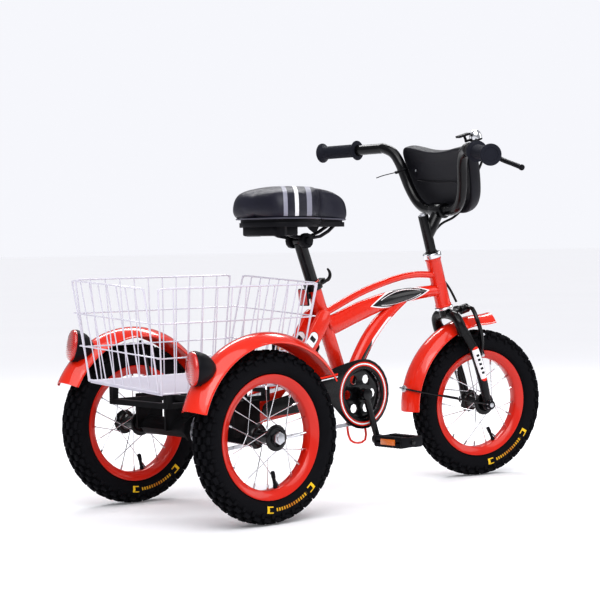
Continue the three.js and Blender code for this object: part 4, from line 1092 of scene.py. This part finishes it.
# %% Chain
CHAIN_Y = -41.0
RING_RADIUS = 56.6
COG_RADIUS = 40.4
CHAIN_PITCHES = 88


def chain_loop():
    """Where the chain runs: evenly spaced points round both wheels, at the height of the pins."""
    axle = Vector((0, 0, TYRE_RADIUS))
    span = BRACKET - axle
    slope = math.atan2(span.z, span.x)
    lean = math.asin((RING_RADIUS - COG_RADIUS) / span.length)
    top = math.pi / 2 + lean + slope
    low = slope - math.pi / 2 - lean
    path = []
    for centre, radius, start, end in ((BRACKET, RING_RADIUS, low, top),
                                       (axle, COG_RADIUS, top, low + 2 * math.pi)):
        for i in range(41):
            angle = start + (end - start) * i / 40
            path.append(centre + Vector((math.cos(angle), 0, math.sin(angle))) * radius)
    path.append(path[0])
    lengths = [0.0]
    for a, b in zip(path, path[1:]):
        lengths.append(lengths[-1] + (b - a).length)
    points = []
    k = 0
    for i in range(CHAIN_PITCHES):
        want = lengths[-1] * i / CHAIN_PITCHES
        while lengths[k + 1] < want:
            k += 1
        share = (want - lengths[k]) / (lengths[k + 1] - lengths[k])
        points.append(path[k].lerp(path[k + 1], share))
    return points


def side_plate(length, y):
    """One figure-of-eight plate of the chain, lying in the XZ plane from x = 0 to its length."""
    deselect()
    bpy.ops.mesh.primitive_cylinder_add(vertices=12, radius=3.5, depth=0.9,
                                        rotation=(math.pi / 2, 0, 0))
    plate = bpy.context.object
    plate.data.transform(plate.matrix_world)
    plate.matrix_world = Matrix.Identity(4)
    for vertex in plate.data.vertices:
        if vertex.co.x > 0.1:
            vertex.co.x += length
        vertex.co.z *= 1 - 0.18 * (abs(vertex.co.x - length / 2) < length / 2 - 0.5)
        vertex.co.y += y
    return plate


loop = chain_loop()
links = []
pitch_length = (loop[1] - loop[0]).length
outer_link = joined("outer", side_plate(pitch_length, -2.5), side_plate(pitch_length, 2.5))
inner_link = joined("inner", side_plate(pitch_length, -1.4), side_plate(pitch_length, 1.4),
                    rod("roller", (0, -1.8, 0), (0, 1.8, 0), 2.4, 0, 10),
                    rod("roller", (pitch_length, -1.8, 0), (pitch_length, 1.8, 0), 2.4, 0, 10))
for i, start in enumerate(loop):
    end = loop[(i + 1) % CHAIN_PITCHES]
    angle = math.degrees(math.atan2(end.z - start.z, end.x - start.x))
    link = outer_link if i % 2 else inner_link
    links.append(copied(link, "link", shift(start.x, CHAIN_Y, start.z) @ turn(-angle, "Y")))
chain = joined("roller_chain", *links)
for master in (outer_link, inner_link):
    bpy.data.objects.remove(master)
on_frame(chain, ZINC, "steel", "chain")
print("chain faces", len(chain.data.polygons))

# %% Chainring and pedals
RING_TEETH = 28
ring_disc = from_cad("chainring", 0.3)
deselect()
bpy.ops.mesh.primitive_cone_add(vertices=8, radius1=2.4, radius2=0.9, depth=4.4,
                                location=(53.2, 0, 0),
                                rotation=(0, math.pi / 2, 0))
tooth = bpy.context.object
tooth.data.transform(tooth.matrix_world)
tooth.matrix_world = Matrix.Identity(4)
teeth = spun_copies(tooth, RING_TEETH)
teeth.data.transform(shift(BRACKET.x, CHAIN_Y, BRACKET.z))
placed(teeth, BASE)
fit(joined("chainring_with_teeth", ring_disc, teeth), "crankset", BLACK_GLOSS, "black_paint",
    "chainring")

CRANK_ANGLE = -71
CRANK_LENGTH = 97.0


def pedal(side):
    """A resin pedal, two ribbed treads and end caps round an open middle, and its reflectors."""
    parts = [rod("core", (0, 80, 0), (0, 157, 0), 8.5, 0.8, 20)]
    for z in (-1, 1):
        for x in (-1, 1):
            low = Vector((x * 20 - 8, 79, z * 6 - 4.5))
            parts.append(box("tread", low, low + Vector((16, 78, 9)), 1.2))
            for k in range(9):
                rib = Vector((x * 20 - 8.6, 82 + k * 8.4, z * 10.2 - 0.8))
                parts.append(box("rib", rib, rib + Vector((17.2, 4.2, 1.6)), 0.5, 1))
    for y in (78, 152):
        parts.append(box("cap", (-29, y, -10), (29, y + 6, 10), 2.2))
    body = joined("pedal", *parts)
    reflectors = [box("reflector", (x - 1.4, 98, -6), (x + 1.4, 138, 6), 0.8)
                  for x in (-28.4, 28.4)]
    plate = joined("pedal_reflectors", *reflectors)
    if side < 0:
        for half in (body, plate):
            half.data.transform(Matrix.Scale(-1, 4, (0, 1, 0)))
            half.data.flip_normals()
    return body, plate


for name, side in SIDES.items():
    angle = math.radians(CRANK_ANGLE)
    end = BRACKET - side * CRANK_LENGTH * Vector((math.cos(angle), 0, math.sin(angle)))
    body, plate = pedal(side)
    spot = BASE @ shift(end.x, 0, end.z)
    body.name = f"{name}_pedal_body"
    plate.name = f"{name}_pedal_reflectors"
    fit(placed(body, spot), f"{name}_pedal", BLACK_PLASTIC, "black_plastic", f"pedal_{name}")
    fit(placed(plate, spot), f"{name}_pedal", AMBER_LENS, "black_plastic")
print("drive done")

# %% [markdown]
# ## The saddle
# A child's saddle is a foam pad under stretched vinyl: broad behind, drawn in at the waist, with
# a rounded nose. The pad's outline is raised in a few loops, and then cloth pressure swells it as
# foam fills its cover. The cap on the movement keeps it inside its place over the pan.

# %% Saddle pad
SADDLE_MIDDLE = 262.0
SADDLE_LENGTH = 248.0
SADDLE_HALF_WIDTH = 83.0
SADDLE_NOSE = 22.0
SWELL = 0.006


def bezier(a, b, c, d, count):
    line = []
    for i in range(count):
        t = i / count
        line.append([(1 - t) ** 3 * p + 3 * t * (1 - t) ** 2 * q + 3 * t * t * (1 - t) * r + t ** 3 * s
                     for p, q, r, s in zip(a, b, c, d)])
    return line


def saddle_outline(inset, height, nose_drop):
    """One level of the pad, as points round it; the nose hangs nose_drop lower than the back."""
    half = SADDLE_HALF_WIDTH - inset
    back = -SADDLE_LENGTH / 2 + inset
    nose = SADDLE_LENGTH / 2 - inset
    tip = SADDLE_NOSE + 5 - inset * 0.6
    right = bezier((back, 0), (back, half * 0.72), (back + 3, half), (back + 38, half), 10)
    right += bezier((back + 38, half), (back + 148, half * 0.98), (back + 122, tip),
                    (nose - tip - 18, tip), 12)
    right += bezier((nose - tip - 18, tip), (nose - 6, tip + 1), (nose, tip * 0.75), (nose, 0), 10)
    left = [(x, -y) for x, y in right[1:]]
    points = []
    for x, y in right + [(nose, 0)] + left[::-1]:
        share = max(0.0, (x + 10) / (SADDLE_LENGTH / 2 + 10))
        points.append(Vector((SADDLE_MIDDLE + x, y, height - nose_drop * share ** 2)))
    return points


def lofted(name, loops):
    """Extrudes a closed outline from loop to loop; all loops have the same number of points."""
    deselect()
    bpy.ops.mesh.primitive_circle_add(vertices=len(loops[0]), radius=1, fill_type="NGON")
    piece = bpy.context.object
    bpy.ops.object.mode_set(mode="EDIT")
    bpy.ops.mesh.select_all(action="SELECT")
    mesh = bmesh.from_edit_mesh(piece.data)
    mesh.verts.ensure_lookup_table()
    for vertex, spot in zip(mesh.verts, loops[0]):
        vertex.co = spot
    for before, after in zip(loops, loops[1:]):
        bpy.ops.mesh.extrude_region_move()
        mesh = bmesh.from_edit_mesh(piece.data)
        for vertex in mesh.verts:
            if vertex.select:
                nearest = min(range(len(before)),
                              key=lambda k: (before[k] - vertex.co).length_squared)
                vertex.co = after[nearest]
        bmesh.update_edit_mesh(piece.data)
    piece.name = name
    return cleaned(piece)


def inflated(piece, pressure, cap, frames=20):
    """Swells a closed mesh by cloth pressure, moving no point further than cap."""
    rest = [vertex.co.copy() for vertex in piece.data.vertices]
    pick(piece)
    cloth = piece.modifiers.new("Cloth", "CLOTH")
    cloth.settings.use_pressure = True
    cloth.settings.uniform_pressure_force = pressure
    cloth.settings.effector_weights.gravity = 0
    cloth.point_cache.frame_start = 1
    cloth.point_cache.frame_end = frames
    for number in range(1, frames + 1):
        bpy.context.scene.frame_set(number)
    bpy.ops.object.modifier_apply(modifier=cloth.name)
    bpy.context.scene.frame_set(1)
    for vertex, start in zip(piece.data.vertices, rest):
        move = vertex.co - start
        if move.length > cap:
            vertex.co = start + move * (cap / move.length)
    return piece


levels = [(20, 549, 2), (10, 551, 5), (4, 557, 8), (2, 567, 9), (3, 580, 9), (6, 592, 10),
          (13, 602, 12),
          (27, 608, 14), (50, 609, 15)]
pad = lofted("saddle_pad", [saddle_outline(inset, height, drop) for inset, height, drop in levels])
pad.data.transform(BASE)
modified(pad, "REMESH", mode="VOXEL", voxel_size=0.005)
inflated(pad, 4.0, SWELL)
modified(pad, "SMOOTH", factor=0.5, iterations=4)
modified(pad, "SUBSURF", levels=1, render_levels=1)
FLOOR_OF_PAD = 0.5455
for vertex in pad.data.vertices:
    vertex.co.z = max(vertex.co.z, FLOOR_OF_PAD)
pad.data.transform(BASE.inverted())
placed(pad, BASE, 60)
fit(pad, "saddle", SADDLE_VINYL, "saddle_vinyl", "saddle_cushion")
print("saddle from", [round(v, 3) for v in pad.bound_box[0]], "faces", len(pad.data.polygons))


# %% Piping under the saddle's edge
def piping(inset, height, radius):
    loop = saddle_outline(inset, height, 3)
    return wire("saddle_piping", [loop + loop[:1]], radius, 3)


fit(placed(piping(9.0, 552.0, 1.7), BASE), "saddle", PIPING_GREY, "saddle_vinyl")
flap = [(241, 549), (262, 530), (272, 524), (279, 528), (293, 549)]
walls = [box("pan_wall", (156, -46, 518.5), (222, 46, 541), 4.0)]
walls.append(lofted("pan_rim", [saddle_outline(15, 540, 0), saddle_outline(15, 552, 3)]))
for side in (-1, 1):
    walls.append(lofted("flap", [[Vector((x, side * y, z)) for x, z in flap] for y in (32, 36)]))
fit(placed(joined("saddle_pan_skirt", *walls), BASE), "saddle", BLACK_PLASTIC, "black_plastic")

# %% Seat lever and rear reflector
lever_line = [(24, -12, -9.5), (30, -15, -8), (35, -17, -3), (37, -17, 5), (35, -16, 13)]
lever = pipe("seat_lever_curved", lever_line, 3.4, 16, 3, [0.9, 1.1, 1.0, 0.85, 0.6])
fit(placed(lever, SEAT @ shift(0, 0, 243)), "seat_lever", BLACK_GLOSS, "black_paint",
    "quick_release_lever")
bracket = box("reflector_bracket", (-34, -14, -17), (-29.5, 14, 17), 2.2)
strap = box("strap", (-30, -3, -5), (-13.6, 3, 5), 1.0)
reflector_place = BASE @ Matrix.Translation(on_seat_tube(213)) @ turn(-6, "Y")
fit(placed(joined("reflector_bracket", bracket, strap), reflector_place), "frame", BLACK_PLASTIC,
    "black_plastic",
    "rear_reflector")
face = box("reflector_face", (-35.6, -12, -15), (-33.6, 12, 15), 0.9)
fit(placed(face, reflector_place), "frame", RED_LENS, "black_plastic")
print("seat done")

# %% [markdown]
# ## The fork and its fittings
# The fork's legs are tubes that curve forward and grow thinner towards the axle. They are drawn
# as curves with a varying radius, and the crown, the wire stay of the fender and the cable are
# drawn as curves too.

# %% Fork
LEG_LINE = [(2, 44, 182), (14, 44, 150), (24, 44, 112), (29, 40.5, 45), (28.1, 38.5, -6)]
CROWN_LINE = [(3.4, -44, 166), (2.5, -44, 180), (2, -41, 194), (3, -28, 205), (4, 0, 208.5),
              (3, 28, 205),
              (2, 41, 194), (2.5, 44, 180), (3.4, 44, 166)]


def flipped(points):
    return [(x, -y, z) for x, y, z in points]


fork_parts = [
    pipe("leg", LEG_LINE, 11, 36, 7, [1, 1, 0.98, 0.9, 0.82]),
    pipe("leg", flipped(LEG_LINE), 11, 36, 7, [1, 1, 0.98, 0.9, 0.82]),
    pipe("crown", CROWN_LINE, 11, 40, 7),
    rod("steerer", (0, 0, 206), (0, 0, 349), 12.6),
    rod("pivot_bolt", (4, 0, 205), (60, 0, 205), 3.5, 0.4, 16),
]
for side in (-1, 1):
    fork_parts.append(rod("dropout", (STEER_RAKE, side * 33.6, 0), (STEER_RAKE, side * 44, 0),
                          12.5, 1.5))
    fork_parts.append(box("dropout_plate", (20, min(side * 35, side * 43), -6),
                          (36, max(side * 35, side * 43), 34), 3))
fork = joined("fork_with_curved_legs", *fork_parts)
on_steering(fork, FORK_PAINT, "black_paint", "fork")
nuts = []
for side in (-1, 1):
    nuts.append(rod("nut_cover", (STEER_RAKE, side * 47.4, 0), (STEER_RAKE, side * 56, 0),
                    9.6, 2.4, 24))
    nuts.append(rod("washer", (STEER_RAKE, side * 45.2, 0), (STEER_RAKE, side * 47.2, 0),
                    11.5, 0.5, 32))
on_steering(joined("front_nut_covers", *nuts), BLACK_PLASTIC, "black_paint")


# %% Fender stay, brake fittings and cable
STAY_ANGLE = 152
PAD_HEIGHT = 105.8


def by_hub(radius, degrees, y):
    angle = math.radians(degrees)
    return (STEER_RAKE + radius * math.cos(angle), y, radius * math.sin(angle))


right_stay = [by_hub(14, 151, -51.5), by_hub(60, STAY_ANGLE, -49.5), by_hub(168, STAY_ANGLE, -36),
              by_hub(175.5, STAY_ANGLE, -33), by_hub(185, STAY_ANGLE, -20)]
stay_line = right_stay + [by_hub(191.4, STAY_ANGLE, 0)] + flipped(right_stay)[::-1]
on_steering(pipe("fender_stay_wire", stay_line, 2.0, 60, 3), BLACK_GLOSS, "black_paint",
    "fender_stay")
clip = rod("stay_clip", by_hub(187.5, STAY_ANGLE, 0), by_hub(193, STAY_ANGLE, 0), 7.5, 1.2, 24)
on_steering(clip, ZINC, "steel")

CABLE_LINE = [(48, -186, 544), (62, -166, 550), (84, -142, 544), (99, -112, 520), (103, -60, 474),
              (103, -14, 424), (82, 8, 400), (56, 26, 390), (38, 42, 368), (30, 47, 330),
              (33, 43, 290),
              (44, 31, 250), (50, 25, 218)]
cable = pipe("brake_cable_sheath", CABLE_LINE, 2.5, 60, 4)
on_steering(cable, CABLE_BLACK, "cable_sheath", "brake_cable")
for name, side in SIDES.items():
    parts = [rod("pad_bolt", (44, side * 26.4, PAD_HEIGHT), (44, side * 42, PAD_HEIGHT),
                 3.4, 0.5, 16),
             rod("pad_washer", (44, side * 27, PAD_HEIGHT), (44, side * 30, PAD_HEIGHT),
                 7.5, 0.6, 24),
             rod("arm_screw", (48, side * 45, 150), (55.5, side * 45, 150), 3.0, 0.5, 16)]
    fit(placed(joined(f"{name}_caliper_bolts", *parts), STEERING), f"{name}_caliper", ZINC, "steel")
print("fork done")

# %% [markdown]
# ## The handlebar and what it carries
# The bar is one bent tube with a deep U. The grips have a flange at each end, with fine ribs
# between. A moulded shield fills the U, with a scooped top edge, and its outline is lofted from
# back to front.

# %% Handlebar, stem and grips
BAR_BEND = Vector((38, 155, 561))
BAR_END = Vector((-20.3, 316, 566))
BAR_RUN = (BAR_END - BAR_BEND).length
GRIP_START = BAR_RUN - 100


def on_bar(side, distance):
    spot = BAR_BEND + (BAR_END - BAR_BEND) * (distance / BAR_RUN)
    return Vector((spot.x, side * spot.y, spot.z))


half_bar = [(42, 8, 425.5), (42, 26, 425.5), (42, 50, 427.5), (42.7, 70, 436), (43.6, 86, 451),
            (44.3, 99, 474),
            (45, 108, 500), (45.3, 116, 526), (44, 131, 549)]
half_bar += [tuple(on_bar(1, distance)) for distance in (0, 9, 20, 60, BAR_RUN - 1)]
bar = pipe("bent_handlebar", flipped(half_bar)[::-1] + half_bar, 11, 130, 8)
on_steering(bar, BLACK_GLOSS, "black_paint", "handlebar")

stem = joined("stem_with_reach", rod("quill", (0, 0, 292), (0, 0, 427), 11, 1.2, 40),
              pipe("reach", [(-3, 0, 376), (12, 0, 395), (28, 0, 412), (42, 0, 425.5)], 12.5, 12, 6,
                   [0.8, 1.05, 1.0, 0.95]),
              rod("clamp", (42, -21, 425.5), (42, 21, 425.5), 16, 1.5, 40))
on_steering(stem, BLACK_GLOSS, "black_paint", "stem")
bolts = joined("stem_bolts", rod("cap", (0, 0, 426), (0, 0, 431.5), 6.6, 0.8, 6),
               rod("collar", (0, 0, 425.5), (0, 0, 428), 9.2, 0.6, 32),
               rod("clamp_bolt", (31, 0, 408), (24, 0, 402), 4.4, 0.5, 6))
on_steering(bolts, ZINC, "steel")


def grip(name, side):
    profile = [(11.7, 0), (19.5, 0), (21.4, 1.2), (21.4, 3), (19.5, 4.6), (16, 6.0), (14.2, 8)]
    for k in range(26):
        profile += [(14.2, 10 + k * 3), (13.6, 10.8 + k * 3), (13.6, 11.4 + k * 3),
                    (14.2, 12.2 + k * 3)]
    profile += [(14.2, 91), (16, 94), (19.5, 97), (21.4, 98.8), (21.4, 101.2), (19.8, 102.8),
                (15, 102.8),
                (13.6, 101.4), (6, 101.6), (0.05, 102.2), (0.05, 99.6), (11.7, 99.6)]
    sleeve = turned(name, profile, 40)
    along = (on_bar(side, BAR_RUN) - on_bar(side, 0)).normalized()
    aim = Vector((0, 1, 0)).rotation_difference(along).to_matrix().to_4x4()
    return placed(sleeve, STEERING @ Matrix.Translation(on_bar(side, GRIP_START)) @ aim)


for name, side in SIDES.items():
    fit(grip(f"{name}_grip", side), "steering", GRIP_RUBBER, "grip_rubber", f"grip_{name}")
print("bar and grips done")

# %% Shield in the handlebar's U
SHIELD_MIDDLE = 484.0


def shield_loop(inset, depth):
    """The shield's outline at one depth, drawn in by inset; the top edge is scooped."""
    half = curve_through([(0, 0, 414), (0, 48, 414.5), (0, 74, 419), (0, 98, 442), (0, 112, 480),
                          (0, 120, 522),
                          (0, 120.5, 547), (0, 106, 557.5), (0, 72, 554.5), (0, 36, 549),
                          (0, 0, 547)], 34)
    ring = half + [Vector((0, -spot.y, spot.z)) for spot in half[-2:0:-1]]
    return [Vector((depth, spot.y * (1 - inset / 100),
                    SHIELD_MIDDLE + (spot.z - SHIELD_MIDDLE) * (1 - inset / 70)))
            for spot in ring]


shield = lofted("shield", [shield_loop(inset, depth) for inset, depth in (
    (30, 65), (18, 63), (9, 61), (4, 59.6), (1.4, 60.2), (0, 62.5), (0, 70), (0.8, 79), (3, 86),
    (8, 90.5),
    (16, 92.2), (30, 92.6))])
modified(shield, "SUBSURF", levels=1, render_levels=1)
fit(placed(shield, STEERING, 60), "steering", SHIELD, "bag_shell", "bag")
seam = wire("shield_seam", [[(62.6 - 1.6 * math.cos(y / 90 * 1.5), y,
                              482 + 0.00025 * y * y) for y in range(-88, 89, 4)]],
            0.9, 2)
on_steering(seam, BLACK_GLOSS, "bag_shell")
screws = [rod("screw", (58.8, y, z), (61.5, y, z), 2.6, 0.6, 20) for y,
          z in ((84, 506), (-84, 506), (26, 428), (-26, 428))]
on_steering(joined("shield_screws", *screws), ZINC, "steel")

# %% Brake lever, bell and cable tie
pivot = on_bar(-1, 46) + Vector((26, 0, -13))
lever_line = [pivot, pivot + Vector((5, -18, -2)), (47, -253, 537), (46, -290, 528),
              (45.5, -317, 521.3)]
blade = pipe("brake_lever_blade", lever_line, 5, 30, 5, [1.15, 1.1, 0.95, 0.95, 1.0])
knob = rod("knob", (45.6, -311, 522.8), (45.4, -318.2, 521.0), 6.0, 2.4, 24)
fit(placed(joined("brake_lever_blade", blade, knob), STEERING), "front_brake_lever", BLACK_PLASTIC,
    "black_paint",
    "brake_lever")

BELL = Vector((47, -181, 578))
dome = turned("bell_dome", [(0.05, 19.7), (4, 19.3), (8, 17.3), (11, 13.2), (12.6, 8), (13, 2),
                            (12, 1.6), (11.6, 7),
                            (9.8, 12), (6.5, 16), (0.05, 18)], 48)
dome.data.transform(Matrix.Translation(BELL) @ turn(90, "X"))
on_steering(dome, CHROME, "chrome", "bell")
base = joined("bell_base", rod("disc", BELL + Vector((0, 0, -2)), BELL + Vector((0, 0, 1.2)),
                               12.8, 0.8),
              rod("post", on_bar(-1, 27) + Vector((6, 0, 6)), BELL, 5.5, 0.8),
              rod("band", on_bar(-1, 21.5), on_bar(-1, 32.5), 14.6, 1.2))
on_steering(base, BLACK_PLASTIC, "black_plastic")

tie_ring = [(45 + 13 * math.cos(a), 111 + 11.9 * math.sin(a), 510 - 3.6 * math.sin(a))
            for a in (2 * math.pi * i / 28 for i in range(29))]
tail = [(34, 120, 509), (26, 129, 508.5), (14, 144, 507), (4, 156, 504.5)]
tie = joined("cable_tie", wire("tie_ring", [tie_ring], 1.5, 2), pipe("tie_tail", tail, 1.0, 12, 2),
             box("tie_head", (31, 116, 506), (37, 122, 512), 1.0))
on_steering(tie, BLACK_PLASTIC, "black_plastic")
print("steering done")

# %% [markdown]
# ## The studio
# The tricycle stands on a wide pale floor that runs into a white surround, under a broad soft
# sun. A panel above the camera's side gives the long highlights on the fenders, a second one
# fills from the right, and a narrow strip high behind draws the edges of the black parts.


# %% Floor, light and camera
AMBIENT = 0.42
FLOOR_GLOW = 0.085
SUN_POWER = 1.75
SUN_SPREAD = 70
STAGE_MIDDLE = (0, 0, 0.3)


def studio_finish():
    finish = Finish("studio_floor", Roughness=0.8, Specular_IOR_Level=0.1,
                    Emission_Color=(1.0, 1.0, 1.03, 1.0),
                    Emission_Strength=FLOOR_GLOW)
    spot = finish.out("TexCoord", output="Object")
    cloud = finish.noise(spot, 0.8, 2.0)
    finish.show(Base_Color=finish.mix(cloud, (0.86, 0.86, 0.885), (0.89, 0.89, 0.91)))
    return finish.material


deselect()
bpy.ops.mesh.primitive_circle_add(vertices=96, radius=120, fill_type="NGON",
                                  location=(0, 0, -0.0006))
floor = bpy.context.object
floor.name = "studio_floor"
floor.data.materials.append(studio_finish())

world = bpy.data.worlds.new("studio")
world.use_nodes = True
surround = world.node_tree
backdrop = surround.nodes["Background"]
backdrop.inputs["Color"].default_value = (0.775, 0.78, 0.815, 1)
seen = surround.nodes.new("ShaderNodeLightPath")
dimmer = surround.nodes.new("ShaderNodeMapRange")
dimmer.inputs["To Min"].default_value = AMBIENT
surround.links.new(seen.outputs["Is Camera Ray"], dimmer.inputs["Value"])
surround.links.new(dimmer.outputs["Result"], backdrop.inputs["Strength"])
bpy.context.scene.world = world

sun = bpy.data.lights.new("soft_sky", "SUN")
sun.energy = SUN_POWER
sun.angle = math.radians(SUN_SPREAD)
sun_object = linked("soft_sky", sun)
sun_object.rotation_euler = (math.radians(28), math.radians(-22), 0)


def soft_panel(name, spot, size, power):
    light = bpy.data.lights.new(name, "AREA")
    light.shape = "RECTANGLE"
    light.size, light.size_y = size
    light.energy = power
    lamp_object = linked(name, light)
    lamp_object.location = spot
    aim = Vector(STAGE_MIDDLE) - Vector(spot)
    lamp_object.rotation_euler = aim.to_track_quat("-Z", "Y").to_euler()


soft_panel("key_panel", (-1.6, -2.2, 2.4), (2.2, 1.6), 26)
soft_panel("fill_panel", (2.6, -1.6, 1.6), (1.6, 1.6), 12)
soft_panel("edge_strip", (1.0, 1.4, 2.3), (2.4, 0.5), 34)

CAMERA_PLACE = Vector((-2.4176, -2.6924, 0.4991))
CAMERA_YAW = 0.8576
CAMERA_PITCH = -0.0301
CAMERA_ROLL = -0.0161
CAMERA_LENS = 108.42
camera = bpy.data.cameras.new("studio_camera")
camera.lens = CAMERA_LENS
camera.sensor_width = 36
eye = linked("studio_camera", camera)
level = math.cos(CAMERA_PITCH)
look = Vector((level * math.cos(CAMERA_YAW), level * math.sin(CAMERA_YAW), math.sin(CAMERA_PITCH)))
aim = look.to_track_quat("-Z", "Y").to_matrix().to_4x4()
eye.matrix_world = Matrix.Translation(CAMERA_PLACE) @ aim @ Matrix.Rotation(CAMERA_ROLL, 4, "Z")
bpy.context.scene.camera = eye
bpy.context.scene.view_settings.view_transform = "Standard"
bpy.context.scene.view_settings.look = "Medium High Contrast"
